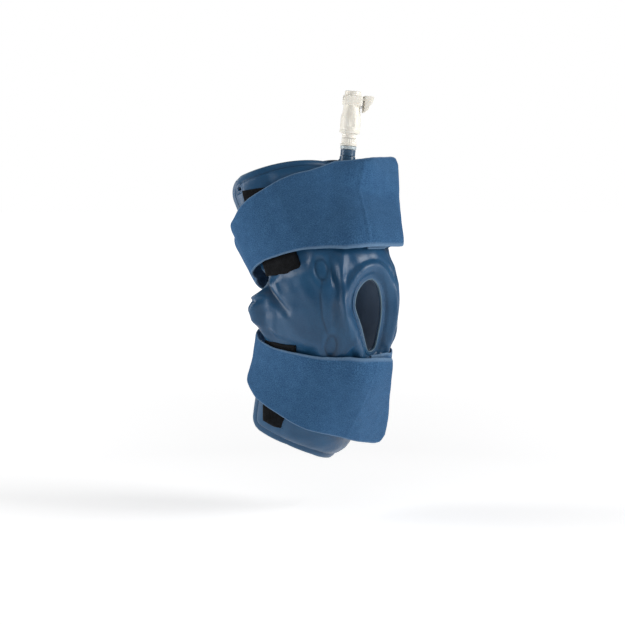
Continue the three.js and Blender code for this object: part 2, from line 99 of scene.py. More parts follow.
def leg_axis():
    """Places along the leg's axis and the y and z of each, walked in short steps from the knee."""
    step = 0.25
    places = np.arange(-200, 240, step)
    angle = lean(places + step / 2)
    y = np.concatenate([[0], np.cumsum(np.sin(angle) * step)])[:-1]
    z = np.concatenate([[0], np.cumsum(np.cos(angle) * step)])[:-1]
    knee = np.argmin(np.abs(places))
    return places, y - y[knee], z - z[knee]


AXIS_S, AXIS_Y, AXIS_Z = leg_axis()


def radius(key, s):
    values = RADII[key]
    last = len(PLACES) - 1
    each = np.arange(last + 1)
    before, after = np.maximum(each - 1, 0), np.minimum(each + 1, last)
    slope = (values[after] - values[before]) / (PLACES[after] - PLACES[before])
    i = np.clip(np.searchsorted(PLACES, s, side="right") - 1, 0, last - 1)
    h = PLACES[i + 1] - PLACES[i]
    t = (s - PLACES[i]) / h
    bend = t * (1 - t) ** 2 * h * slope[i] + t * t * (t - 1) * h * slope[i + 1]
    return mix(values[i], values[i + 1], ease(t)) + bend


def skin(around, s, off, swell=1.0):
    around, s, off = np.broadcast_arrays(*(np.asarray(x, float) for x in (around, s, off)))
    angle = np.radians(around)
    facing = np.where(np.cos(angle) > 0, radius("front", s), radius("back", s))
    forward = (facing + off) * swell * np.cos(angle)
    sideways = (radius("side", s) + off) * swell * np.sin(angle)
    y = np.interp(s, AXIS_S, AXIS_Y) - forward * np.cos(lean(s))
    z = np.interp(s, AXIS_S, AXIS_Z) + forward * np.sin(lean(s))
    return np.stack([-sideways, y, z], -1)


def along(points, x):
    return np.interp(x, [p[0] for p in points], [p[1] for p in points])


def to_line(points, around, s):
    """Distance in millimetres over the cloth to a line of (around, along) points, and the share
    of the line's length at the nearest place."""
    x, y = np.asarray(around) * PER_DEGREE, np.asarray(s)
    line = np.array(points, float) * [PER_DEGREE, 1]
    lengths = np.hypot(*(line[1:] - line[:-1]).T)
    total, done = lengths.sum(), 0
    best, share = np.full(x.shape, 1e9), np.zeros(x.shape)
    for (x0, y0), (x1, y1), length in zip(line[:-1], line[1:], lengths):
        t = np.clip(((x - x0) * (x1 - x0) + (y - y0) * (y1 - y0)) / length**2, 0, 1)
        d = np.hypot(x - x0 - t * (x1 - x0), y - y0 - t * (y1 - y0))
        nearer = d < best
        best = np.where(nearer, d, best)
        share = np.where(nearer, (done + t * length) / total, share)
        done += length
    return best, share


def fold(points, around, s, height, width):
    """A ridge, or a valley where height is negative, that dies away at both ends of a line."""
    d, t = to_line(points, around, s)
    return height * np.exp(-((d / width) ** 2)) * np.sin(np.pi * (0.12 + 0.76 * t)) ** 0.8


def ripple(around, s, seed, short, long, count=7):
    """Soft irregular waves about one high, with wavelengths between short and long."""
    rng = np.random.default_rng(seed)
    x, y = np.asarray(around) * PER_DEGREE, np.asarray(s)
    total = np.zeros(np.broadcast(x, y).shape)
    for _ in range(count):
        angle, phase = rng.uniform(0, math.pi), rng.uniform(0, 2 * math.pi)
        wave = rng.uniform(short, long)
        total += np.sin(2 * math.pi * (x * math.cos(angle) + y * math.sin(angle)) / wave + phase)
    return total / math.sqrt(count)


# ---- Meshes ------------------------------------------------------------------------------------
def make(name, points, faces, material, uv=None, values=None, matrix=None, sharp=None):
    """A mesh object from points in millimetres. uv and values are given for each point."""
    points = np.asarray(points, float)
    mesh = bpy.data.meshes.new(name)
    mesh.from_pydata((points * MM).tolist(), [], [tuple(int(i) for i in f) for f in faces])
    mesh.update()
    work = bmesh.new()
    work.from_mesh(mesh)
    bmesh.ops.recalc_face_normals(work, faces=work.faces)
    work.to_mesh(mesh)
    work.free()
    corner = np.zeros(len(mesh.loops), np.int32)
    mesh.loops.foreach_get("vertex_index", corner)
    if uv is not None:
        layer = mesh.uv_layers.new(name="cloth_mm")
        layer.data.foreach_set("uv", np.asarray(uv, np.float32)[corner].ravel())
    for key, value in (values or {}).items():
        attribute = mesh.attributes.new(key, "FLOAT", "POINT")
        attribute.data.foreach_set("value", np.asarray(value, np.float32))
    mesh.polygons.foreach_set("use_smooth", np.ones(len(mesh.polygons), bool))
    if sharp is not None:
        ends = np.zeros(len(mesh.edges) * 2, np.int32)
        mesh.edges.foreach_get("vertices", ends)
        ends = ends.reshape(-1, 2)
        marks = mesh.attributes.new("sharp_edge", "BOOLEAN", "EDGE")
        marks.data.foreach_set("value", sharp[ends[:, 0]] & sharp[ends[:, 1]])
    mesh.materials.append(material)
    if matrix is not None:
        mesh.transform(matrix)
    mesh.update()
    piece = bpy.data.objects.new(name, mesh)
    bpy.context.scene.collection.objects.link(piece)
    return piece


def nearest(points, targets):
    """Distance from each point to the nearest of the targets."""
    tree = KDTree(len(targets))
    for i, p in enumerate(targets):
        tree.insert(p, i)
    tree.balance()
    return np.array([tree.find(p)[2] for p in points])


def dense(loop, spacing=0.5):
    """Points along a closed loop, spaced evenly enough to measure distances from."""
    loop = np.asarray(loop)
    found = []
    for a, b in zip(loop, np.roll(loop, -1, axis=0)):
        steps = max(1, int(math.ceil(np.linalg.norm(b - a) / spacing)))
        found.extend(a + (b - a) * k / steps for k in range(steps))
    return np.array(found)


def lattice(columns, rows):
    """Point numbers of a grid, its faces, and the points of its border in order."""
    ids = np.arange((columns + 1) * (rows + 1)).reshape(columns + 1, rows + 1)
    quads = np.stack([ids[:-1, :-1], ids[1:, :-1], ids[1:, 1:], ids[:-1, 1:]], -1)
    border = np.concatenate([ids[:-1, 0], ids[-1, :-1], ids[:0:-1, -1], ids[0, :0:-1]])
    return ids, quads, border


def both_sides(quads, loops, count):
    """Faces of a closed sheet whose back has the same points as its front, count further on."""
    faces = [tuple(q) for q in quads] + [tuple(q[::-1] + count) for q in quads]
    for loop in loops:
        ahead = np.roll(loop, -1)
        faces.extend(zip(loop, ahead, ahead + count, loop + count))
    return faces


def swept(ids):
    """Faces between closed sections, each of them a row of point numbers."""
    a, b = ids[:-1], ids[1:]
    quads = np.stack([a, b, np.roll(b, -1, 1), np.roll(a, -1, 1)], -1).reshape(-1, 4)
    return [tuple(q) for q in quads]


# ---- Bladder outline ---------------------------------------------------------------------------
BLADDER_TOP, WING_RISE, BLADDER_BOTTOM = 113, 11, -128
KNEE_HALF, TOP_CORNER, BOTTOM_CORNER = 26, 16, 10
WING_EDGE = [  # (along, around): how far round the leg the wings reach
    (-128, 81), (-100, 86), (-60, 98), (-36, 109), (-22, 116), (-8, 118.5), (4, 118), (9, 116),
    (13, 112), (17, 104.5), (20, 97), (23, 90), (26, 86.5), (29, 88.5), (38, 93), (70, 92),
    (100, 90), (124, 88),
]
OPENING = [  # the kneecap opening, (around, along)
    (-2.5, 10), (3, 9.2), (7.5, 7.6), (11.5, 5.3), (13.8, 2.3), (14.2, -0.8), (11.5, -4.5), (8, -8),
    (5, -11.5), (0.5, -16), (-4, -19.6), (-9, -20.2), (-13.2, -19), (-14.3, -16), (-14.8, -12),
    (-16, -7), (-16.5, -2), (-15.8, 2), (-13.8, 6), (-10.5, 8.6), (-6.5, 9.9),
]
BOTTOM_HANG = [  # (around, millimetres) that the bottom edge is lifted, negative where it hangs
    (-90, 2), (-65, -1), (-50, -7), (-35, -13), (-20, -11), (0, -5), (12, -1), (25, 2), (40, 4.5),
    (90, 5),
]
PUNCH_HOLES = [(77, 114), (-77, 114)]
PUNCH_RADIUS = 1.6


def wing_edge(s):
    corner = np.where(s > 0, TOP_CORNER, BOTTOM_CORNER)
    to_end = np.minimum(BLADDER_TOP + WING_RISE - s, s - BLADDER_BOTTOM)
    x = np.clip(1 - to_end / corner, 0, 1)
    return along(WING_EDGE, s) - corner * (1 - np.sqrt(1 - x * x))


def smooth_loop(points, steps=8):
    """A closed smooth curve through points."""
    p = np.asarray(points, float)
    a, b, c, d = np.roll(p, 1, 0), p, np.roll(p, -1, 0), np.roll(p, -2, 0)
    found = []
    for k in range(steps):
        t = k / steps
        found.append(0.5 * (2 * b + (c - a) * t + (2 * a - 5 * b + 4 * c - d) * t**2
                            + (3 * b - a - 3 * c + d) * t**3))
    return np.stack(found, 1).reshape(-1, 2)


def bladder_grid(columns, rows):
    """(around, along) of a grid over the bladder's outline, with its holes ringed by loops of
    faces: the points, the faces, and each boundary as a loop of point numbers."""
    straight = 60  # inside this angle the columns run straight up the leg
    widest = 100
    t = np.linspace(-widest, widest, columns + 1)
    top = BLADDER_TOP + WING_RISE
    s = np.linspace(BLADDER_BOTTOM, top, rows + 1)
    t, s = np.meshgrid(t, s, indexing="ij")
    beyond = np.abs(t) - straight
    stretched = straight + beyond * (wing_edge(s) - straight) / (widest - straight)
    around = np.sign(t) * np.where(beyond > 0, stretched, np.abs(t))
    ids, quads, outer = lattice(columns, rows)
    points = np.stack([around, s], -1).reshape(-1, 2)
    keep = np.ones((columns, rows), bool)
    faces, loops, drop = [], [], np.zeros(around.shape, bool)

    def cut(outline, half_wide, half_tall, rings):
        nonlocal points
        middle = outline.mean(0)
        near = np.hypot((around - middle[0]) * PER_DEGREE, s - middle[1])
        ci, cj = np.unravel_index(np.argmin(near), near.shape)
        i0, i1, j0, j1 = ci - half_wide, ci + half_wide, cj - half_tall, cj + half_tall
        keep[i0:i1, j0:j1] = False
        drop[i0 + 1:i1, j0 + 1:j1] = True
        border = np.concatenate([ids[i0:i1, j0], ids[i1, j0:j1],
                                 ids[i1:i0:-1, j1], ids[i0, j1:j0:-1]])
        flat = (points[border] - middle) * [PER_DEGREE, 1]
        line = (outline - middle) * [PER_DEGREE, 1]
        turn = np.unwrap(np.arctan2(line[:, 1], line[:, 0]))
        reach = np.hypot(*line.T)
        if turn[-1] < turn[0]:
            turn, reach = turn[::-1], reach[::-1]
        turn = np.concatenate([turn - 2 * math.pi, turn, turn + 2 * math.pi])
        angle = np.arctan2(flat[:, 1], flat[:, 0])
        far = np.interp(angle, turn, np.tile(reach, 3))
        rim = np.stack([np.cos(angle) * far, np.sin(angle) * far], -1)
        last = border
        for k in range(1, rings + 1):
            ring = middle + mix(flat, rim, (k / rings)) / [PER_DEGREE, 1]
            new = np.arange(len(points), len(points) + len(ring))
            points = np.concatenate([points, ring])
            faces.extend(zip(last, np.roll(last, -1), np.roll(new, -1), new))
            last = new
        loops.append(last)

    cut(smooth_loop(OPENING), round(27 * columns / 200), round(27 * rows / 252), 26)
    for hole in PUNCH_HOLES:
        turn = np.linspace(0, 2 * math.pi, 40, endpoint=False)
        round_it = np.stack([np.cos(turn) / PER_DEGREE, np.sin(turn)], -1)
        cut(np.array(hole) + PUNCH_RADIUS * round_it, 4, 4, 3)
    faces = np.concatenate([quads[keep], np.array(faces)])
    used = ~drop.ravel()
    used = np.concatenate([used, np.ones(len(points) - len(used), bool)])
    renumber = np.cumsum(used) - 1
    return points[used], renumber[faces], [renumber[outer]] + [renumber[loop] for loop in loops]


def shape_s(around, s):
    """The place along the leg of a grid point: the top edge dips in front of the thigh, and the
    bottom edge hangs lowest in front of the shin."""
    dip = WING_RISE * (1 - np.minimum(np.abs(around) / 70, 1))
    hang = along(BOTTOM_HANG, around)
    return (s - dip * ease((s - KNEE_HALF) / (BLADDER_TOP - KNEE_HALF))
            + hang * ease((-60 - s) / (-60 - BLADDER_BOTTOM)))


# ---- Bladder -----------------------------------------------------------------------------------
FLANGE_OFF, LINER_OFF, LINER_THICK, PANEL_OFF = 3.9, 0.5, 1.5, 2.4
WELD_AT = 6.2  # the rim's weld lies this far in from the edge
OPENING_WELD_AT = 4.2
DOTS = [(39.5, 17), (34, -17.5)]
DOT_RADIUS = 5.0
DOT_SEAM = [(40.5, 12), (43, 4.5), (42.3, -4.5), (37.5, -12.5)]
NOTCH_FOLD = [(89, 23), (84.5, 12), (78, 4), (70, -2.5)]
NOTCH_LEDGE = [(86.5, 24), (81.5, 13), (75.5, 6), (68.5, 0)]


# Ridges over the knee, and valleys where the height is negative: (line, height, width). The first
# list is by place round the leg, and the second is alike on both sides.
FRONT_FOLDS = [
    ([(25.5, 14), (27, 3), (25.5, -5), (20, -14)], 2.8, 2.6),
    ([(-26, 14), (-27.5, 2), (-26, -8), (-22, -15)], 2.4, 2.6),
    ([(33, 23), (31, 15), (29.5, 7)], -4.2, 3.4),
    ([(32.5, 3), (32.5, -6), (28, -15)], -1.8, 3.0),
    ([(20, 24), (24, 17), (28.5, 10)], 2.0, 3.2),
    ([(-32, 18), (-34, 4), (-31, -12)], -2.0, 3.2),
    ([(-39, 20), (-41, 0), (-38, -18)], 1.4, 4.0),
    ([(5, -20), (10.5, -21.5), (16, -25)], 1.6, 1.5),
    ([(12, -12), (18, -16), (24, -22)], 1.3, 1.5),
    ([(-14, -21), (-17, -22), (-20, -25)], 1.8, 1.5),
    ([(-17, -14), (-21.5, -17.5), (-26, -23)], 1.4, 1.5),
    ([(-2, -22), (-1, -23), (0, -26)], 1.1, 1.5),
    ([(-8, -22), (-8.5, -23), (-9, -26)], 1.2, 1.5),
]
SIDE_FOLDS = [
    ([(79, 20), (76, 14), (74.5, 8)], 1.0, 1.1),
    ([(82, 19), (79, 13), (77.5, 9)], 0.8, 1.0),
    ([(88, 12), (90, -2), (89, -14), (86, -25)], -2.6, 4.2),
    ([(81, -6), (82, -16), (80, -25)], 0.8, 1.8),
    ([(97, 8), (101, -6), (98, -22)], 1.2, 5.0),
    ([(72, -6), (66, -10), (58, -16)], 0.6, 3.0),
    ([(70, 6), (62, 8), (54, 14)], 0.5, 3.0),
    ([(104, -8), (110, -14), (106, -24)], -1.4, 2.6),
]


def bump(distance, width):
    """A smooth rise to 1 where the distance is none."""
    return np.exp(-((distance / width) ** 2))


def bladder_height(around, s):
    """How far the full bladder stands out, before its welds pull it in."""
    side = np.abs(around)
    held = mix(10.5, 6.8, ease((side - 39) / 12))
    free = mix(11.6, 10.2, ease((side - 45) / 25))
    height = mix(held, free, ease((25 - np.abs(s)) / 9))
    below = ease((-78 - s) / 16) * ease((side - 20) / 20)
    height += below * 1.6 * (1 - ease((side - 52) / 8))
    lobe = np.where(s > -4, 24, 29)
    height += 12 * np.exp(-(np.abs((side - 105) / 16) ** 2.4) - np.abs((s + 4) / lobe) ** 6)
    knee = ease((27 - np.abs(s)) / 6)
    folds = sum(fold(line, around, s, high, wide) for line, high, wide in FRONT_FOLDS)
    folds += sum(fold(line, side, s, high, wide) for line, high, wide in SIDE_FOLDS)
    folds += 0.28 * ripple(around, s, 5, 13, 34) + 0.18 * ripple(around, s, 6, 7, 15)
    return height + folds * knee + (1 - knee) * 0.14 * ripple(around, s, 8, 10, 30)


def lobe_lift(around, s):
    """How far the rim stands off the leg where the bladder folds out behind the knee's side."""
    return 8 * np.exp(-(np.abs((np.abs(around) - 112) / 15) ** 3) - np.abs((s - 1) / 19) ** 4)


def bladder_off(around, s, to_edge, to_opening, to_punch):
    """Outer face of the bladder, and how deep in a weld or a fold each point lies."""
    side = np.abs(around)
    notch = ease((side - 78) / 6) * ease((s - 6) / 6) * ease((34 - s) / 6)
    weld_at = WELD_AT - 3 * notch
    rise = np.sqrt(1 - (1 - np.clip((to_edge - weld_at) / (13 - 5 * notch), 0, 1)) ** 2)
    ring = np.sqrt(1 - (1 - np.clip((to_opening - OPENING_WELD_AT) / 7.5, 0, 1)) ** 2)
    rim = FLANGE_OFF + lobe_lift(around, s)
    off = rim + (bladder_height(around, s) - rim) * rise * ring
    # a full ring round the opening, a valley outside it and a bead on its flange
    off += 1.5 * bump(to_opening - 11.5, 3.4) * ease((to_opening - 5) / 4)
    off += 1.1 * bump(to_opening - 3.1, 0.9) - 0.8 * bump(to_opening - 17.5, 2.4)

    # The mask made below darkens the film's colour: weld lines drawn darker, and painted shade in
    # their grooves and in the notch's fold
    weld_and_fold_shade = np.zeros(np.shape(off))
    for dot in DOTS:  # round welds that tie the bladder's two skins together
        d, _ = to_line([dot, (dot[0] + 0.01, dot[1])], side, s)
        mark = bump(d - DOT_RADIUS, 0.7)
        off -= 1.5 * ease((DOT_RADIUS + 2.8 - d) / 3.2) + 0.55 * mark
        off += 0.5 * bump(d - DOT_RADIUS - 4, 2)
        weld_and_fold_shade = np.maximum(weld_and_fold_shade, 0.7 * mark)

    d, t = to_line(DOT_SEAM, side, s)
    seam = bump(d, 0.9) * np.sin(np.pi * (0.1 + 0.8 * t)) ** 0.4
    off -= 0.75 * seam + 0.5 * bump(d, 3.5)
    weld_and_fold_shade = np.maximum(weld_and_fold_shade, 0.6 * seam)

    d, t = to_line(NOTCH_FOLD, side, s)
    deep = bump(d, 3.4) * (1 - 0.7 * t**1.5)
    off -= deep * (off - FLANGE_OFF + 0.4)
    ledge, at = to_line(NOTCH_LEDGE, side, s)
    off += 1.3 * bump(ledge, 1.0) * (1 - 0.5 * at)
    weld_and_fold_shade = np.maximum(weld_and_fold_shade, deep)

    weld = bump(to_edge - weld_at, 0.75)
    off += 0.22 * bump(to_edge - weld_at / 2, 1.3) - 0.5 * weld
    weld_and_fold_shade = np.maximum(weld_and_fold_shade, 0.8 * weld)

    off = mix(off, FLANGE_OFF + 0.2, ease((4.0 - to_punch) / 2.0))
    off += 0.3 * bump(to_punch - 1.2, 0.6) - 0.5 * ease((0.9 - to_edge) / 0.9)
    return off, weld_and_fold_shade


def two_faced(name, grid, loops, quads, outer, inner, material, values):
    """A closed sheet from a grid's outer and inner faces, joined along its boundaries."""
    uv = np.stack([grid[:, 0] * PER_DEGREE, grid[:, 1]], -1)
    return make(name, np.concatenate([outer, inner]), both_sides(quads, loops, len(grid)), material,
                uv=np.concatenate([uv, uv]),
                values={key: np.concatenate([value, value]) for key, value in values.items()})


def add_bladder(shell_finish, lining_finish):
    grid, quads, loops = bladder_grid(196, 236)
    around, s = grid.T
    place = shape_s(around, s)
    middle = skin(around, place, 5)
    edge = nearest(middle, dense(middle[loops[0]]))
    opening = nearest(middle, dense(middle[loops[1]]))
    punch = np.minimum(*(nearest(middle, dense(middle[loop])) for loop in loops[2:]))
    off, weld_and_fold_shade = bladder_off(around, place, edge, opening, punch)
    # Mask of a painted highlight along the cut edges of the outline and the opening
    rim = ease((1.1 - np.minimum(edge, opening)) / 0.8)
    inner = PANEL_OFF + 0.85 * lobe_lift(around, place)
    shell = two_faced("bladder_shell", grid, loops, quads, skin(around, place, off),
                      skin(around, place, inner), shell_finish, {"rim": rim, "weld_and_fold_shade": weld_and_fold_shade})
    quilt = 0.15 * ripple(around, place, 21, 16, 40)
    lining = two_faced("bladder_lining", grid, loops, quads,
                       skin(around, place, LINER_OFF + LINER_THICK),
                       skin(around, place, LINER_OFF + 0.1 + quilt * ease(edge / 4)),
                       lining_finish, {})
    for piece, kind in [(shell, "outer_panel"), (lining, "inner_liner")]:
        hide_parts(*(f"{part}_{kind}" for part in ("thigh", "knee", "calf")))
        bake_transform(piece)


# ---- Hook pads ---------------------------------------------------------------------------------
PAD_OFF, PAD_THICK = 7.2, 1.2
PADS = {  # the two long sides, from the knee outward, as (around, along)
    "thigh": {"inner": [(54, 13.5), (55, 60), (54, 100)],
              "outer": [(86, 26.5), (84, 60), (74, 109)]},
    "calf": {"inner": [(62, -23), (54, -60), (32, -108)],
             "outer": [(94, -34), (83, -64), (68, -108)]},
}


def hook_field(points, normals, sides, rng):
    """Small bent hooks that stand on a pad, as points and faces."""
    found, faces = [], []
    for p, n, side in zip(points, normals, sides):
        across = np.cross(n, side)
        start = len(found)
        size = rng.uniform(0.85, 1.1)
        lean_by = side * 0.35 * size
        for height, shift, wide in [(-0.1, 0.0, 0.2), (0.45, 0.25, 0.15), (0.62, 1.0, 0.12)]:
            centre = p + n * height * size + lean_by * shift
            for a, b in [(-1, -1), (1, -1), (1, 1), (-1, 1)]:
                found.append(centre + across * a * wide + side * b * wide * 0.8)
        for level in (0, 4):
            for k in range(4):
                a, b = start + level + k, start + level + (k + 1) % 4
                faces.append((a, b, b + 4, a + 4))
        faces.append(tuple(start + 8 + k for k in range(4)))
        faces.append(tuple(start + k for k in (3, 2, 1, 0)))
    return found, faces


def pad_place(pad, u, v):
    """The place on the leg of a point of a pad, u across it and v along it."""
    share = np.linspace(0, 1, len(pad["inner"]))
    inner, outer = (np.stack([np.interp(v, share, [p[k] for p in pad[side]]) for k in (0, 1)], -1)
                    for side in ("inner", "outer"))
    return mix(inner, outer, u[..., None])


def hook_patch(name, surface, wide, tall, material):
    """A patch of hook tape: surface(u, v, height) is a place across it, along it and above the
    cloth that it is sewn to."""
    columns, rows, pitch = 28, 70, 1.9
    u, v = np.meshgrid(np.linspace(0, 1, columns + 1), np.linspace(0, 1, rows + 1), indexing="ij")
    inward = np.minimum(np.minimum(u, 1 - u) * wide, np.minimum(v, 1 - v) * tall)
    outer = surface(u, v, PAD_THICK * (0.35 + 0.65 * ease(inward / 1.6))).reshape(-1, 3)
    inner = surface(u, v, np.full(u.shape, -0.15)).reshape(-1, 3)
    _, quads, border = lattice(columns, rows)
    faces = both_sides(quads.reshape(-1, 4), [border], u.size)

    cu, cv = np.meshgrid(np.arange(0.06, 0.95, pitch / wide),
                         np.arange(0.03, 0.975, pitch / tall), indexing="ij")
    height = np.full(cu.shape, PAD_THICK)
    base = surface(cu, cv, height).reshape(-1, 3)
    normal = surface(cu, cv, height + 1).reshape(-1, 3) - base
    normal /= np.linalg.norm(normal, axis=1)[:, None]
    sideways = surface(cu + 0.01, cv, height).reshape(-1, 3) - base
    sideways /= np.linalg.norm(sideways, axis=1)[:, None]
    flip = np.where((np.arange(len(base)) // cu.shape[1]) % 2, 1, -1)[:, None]
    hooks, hook_faces = hook_field(base, normal, sideways * flip, np.random.default_rng(11))
    faces += [tuple(i + 2 * u.size for i in f) for f in hook_faces]
    flat = np.stack([u * wide, v * tall], -1).reshape(-1, 2)
    piece = make(name, np.concatenate([outer, inner, hooks]), faces, material,
                 uv=np.concatenate([flat, flat, np.zeros((len(hooks), 2))]))
    return piece


def add_hook_pads(material):
    for part, pad in PADS.items():
        for where, sign in [("lateral", 1), ("medial", -1)]:
            def surface(u, v, height):
                side, s = np.moveaxis(pad_place(pad, u, v), -1, 0)
                return skin(sign * side, s, PAD_OFF + height)
            wide = np.mean([o[0] - i[0] for i, o in zip(pad["inner"], pad["outer"])]) * PER_DEGREE
            tall = abs(pad["inner"][-1][1] - pad["inner"][0][1])
            piece = hook_patch(f"{part}_hook_tape_{where}", surface, wide, tall, material)
            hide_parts(f"{part}_hook_pad_{where}")
            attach(piece, f"{part}_cuff")


# ---- Straps ------------------------------------------------------------------------------------
STRAP_THICK, STRAP_OFF, STRAP_PAD_OFF, STRAP_SKIN_OFF, LAYER_RISE = 3, 11.5, 9.6, 0.8, 6
TANGENT, CREASE_SLANT, TUBE_AROUND = 14, 33, -15.5
# Edges are given as (degrees round from the front, millimetres from the knee): near and far for
# the wrap, tab_near and tab_far for the second layer towards the free end. corner, tab_end and
# ridge are the turns from the front, by distance from the knee, of the strap's outermost line, its
# end and a pressed line that runs up it, pressed millimetres high. tab is how far the end reaches
# along the leg, bump the share by which the tube lifts the strap, round the radii of the end's two
# corners, and flat the sizes in metres (width, length) that the wrap and its end are cut to.
STRAPS = {
    "thigh": {
        "side": 1,
        "near": [(0, 22.8), (10, 22.8), (20, 23.5), (30, 26), (40, 28), (50, 30.5), (60, 33),
                 (70, 35.2), (80, 38.2), (90, 39.2), (100, 38), (180, 38)],
        "far": [(0, 103.2), (10, 100.8), (20, 99.3), (30, 99.6), (40, 99), (50, 97.6), (70, 96.8),
                (80, 94.8), (90, 90.8), (115, 86), (180, 84)],
        "tab_near": [(0, 22.8), (15, 23), (30, 23.8), (40, 24.8), (45, 26), (50, 27.8), (55, 30.5),
                     (60, 33.5)],
        "tab_far": [(0, 103.2), (5, 101.8), (10, 99.8), (15, 99.2), (20, 100), (25, 102.2),
                    (30, 104.5), (35, 107), (40, 109.2), (45, 111.8), (50, 114.8), (55, 118.8),
                    (60, 124)],
        "corner": [(22, 39.5), (35, 44.5), (50, 49.5), (65, 53), (80, 55.5), (95, 57.5),
                   (110, 59.5)],
        "tab_end": [(22, 38.5), (35, 43.5), (50, 48.5), (65, 52), (80, 54.5), (109, 58.5)],
        "tab": (22, 109), "bump": 0.22, "round": (6, 15),
        "flat": (0.063, 0.439), "flat_end": (0.087, 0.058),
        "ridge": [(22, -2), (45, 5), (65, 9.5), (85, 13), (105, 15.5)], "pressed": 0.85,
    },
    "calf": {
        "side": -1,
        "near": [(0, 20.5), (20, 20.8), (30, 22.5), (40, 24), (50, 25.2), (60, 27.4), (70, 30),
                 (80, 33.5), (90, 36), (100, 38), (115, 37), (140, 30), (180, 26)],
        "far": [(0, 99.8), (10, 97), (20, 95.6), (30, 94.8), (40, 92.8), (50, 90.6), (60, 90),
                (80, 88.8), (90, 85), (100, 81), (180, 70)],
        "tab_near": [(0, 20.5), (10, 21.2), (20, 22.5), (30, 23.8), (40, 25.8), (50, 30.5),
                     (60, 38)],
        "tab_far": [(0, 99.8), (5, 101.2), (10, 103), (20, 107.2), (30, 112), (40, 117), (50, 123),
                    (55, 127.5)],
        "corner": [(22, 27), (35, 33.5), (50, 41), (65, 46.5), (80, 51), (95, 54.5), (117, 59)],
        "tab_end": [(22, 26), (30, 30), (40, 35.5), (50, 40), (65, 46), (80, 50.5), (95, 54),
                    (117, 58.5)],
        "tab": (22, 117), "bump": 0.0, "round": (9, 17),
        "flat": (0.062, 0.376), "flat_end": (0.09, 0.044),
        "ridge": [(22, 3), (60, 6), (105, 9)], "pressed": 0.35,
    },
}


def strap_off(angle, s):
    over_wing = mix(STRAP_OFF, STRAP_PAD_OFF, ease((angle - 46) / 14))
    edge = along(WING_EDGE, s)
    return mix(over_wing, STRAP_SKIN_OFF, ease((angle - edge - 3) / 22))


def chord(around, a, swell_a, b, swell_b):
    def part(x, y):
        return np.sin(np.radians(np.abs(x - y)))
    outside = (around > np.maximum(a, b)) | (around < np.minimum(a, b))
    below = swell_a * part(around, a) + swell_b * part(b, around)
    return np.where(outside, 1, swell_a * swell_b * part(a, b) / np.maximum(below, 1e-9))


def strap_swell(strap, around, s):
    near, far = strap["tab"]
    level = np.clip((np.abs(s) - near) / (far - near), 0, 1)
    corner_at = -along(strap["corner"], np.abs(s))
    reach = -corner_at - TANGENT
    corner = 1 / np.cos(np.radians(reach))
    tube = 1 + strap["bump"] * ease((level - 0.5) / 0.35)
    total = np.zeros(np.broadcast(around, s).shape)
    for step in (-6, -3, 0, 3, 6):
        at = around + step
        total += np.maximum.reduce([
            np.ones_like(total),
            chord(at, 25, 1, TUBE_AROUND, tube),
            chord(at, TUBE_AROUND, tube, corner_at, corner),
            chord(at, corner_at, corner, corner_at - reach, 1),
        ])
    return total / 5


def strap_edges(strap, around, outer_layer):
    angle = np.abs(around)
    use = outer_layer & (around <= 0)
    return [np.where(use, along(strap[f"tab_{edge}"], angle), along(strap[edge], angle))
            for edge in ("near", "far")]


def cross_section(rows, width):
    """Points round a strap's section, as the share across and the depth, with round edges."""
    v = np.linspace(0, 1, rows + 1)
    bulge = [(0.55, 0.86), (0.8, 0.5), (0.55, 0.14)]
    out, back = [(x, 1.0) for x in v], [(x, 0.0) for x in v[::-1]]
    right, left = [(1 + b / width, d) for b, d in bulge], [(-b / width, 1 - d) for b, d in bulge]
    return np.array(out + right + back + left)


def end_caps(ids, rows):
    """Faces that close the first and last sections of a strap, across its thickness."""
    faces, last = [], rows + 1
    for row in (ids[0], ids[-1]):
        faces += [(row[j], row[j + 1], row[2 * last + 1 - j], row[2 * last + 2 - j])
                  for j in range(rows)]
        faces.append(tuple(row[rows:last + 4]))
        faces.append((*row[2 * last + 2:], row[0]))
    return faces


def wrap_places(strap, u, v):
    """(around, along, off, to_end) of the wrap: from the peel line round the leg and back to it."""
    turned_to = -CREASE_SLANT * v - 360 * u
    around = np.where(turned_to < -180, turned_to + 360, turned_to)
    s = mix(*strap_edges(strap, around, u > 0.5), v)
    off = strap_off(np.abs(around), strap["side"] * s) + LAYER_RISE * ease((u - 0.9) / 0.08)
    return around, s, off, np.full(u.shape, 99.0)


def end_places(strap, u, v):
    """The same of the free end: from the peel line to its round corners."""
    crease = -CREASE_SLANT * v
    end = -along(strap["tab_end"], mix(*strap["tab"], v))
    around = mix(crease, end, u)
    near, far = strap_edges(strap, around, np.full(u.shape, True))
    to_end = (1 - u) * np.abs(end - crease) * PER_DEGREE * 1.25
    drawn = []
    for corner in strap["round"]:
        x = np.clip(1 - to_end / corner, 0, 1)
        drawn.append(corner * (1 - np.sqrt(1 - x * x)))
    return (around, mix(near + drawn[0], far - drawn[1], v),
            np.full(u.shape, STRAP_OFF + LAYER_RISE, float), to_end)


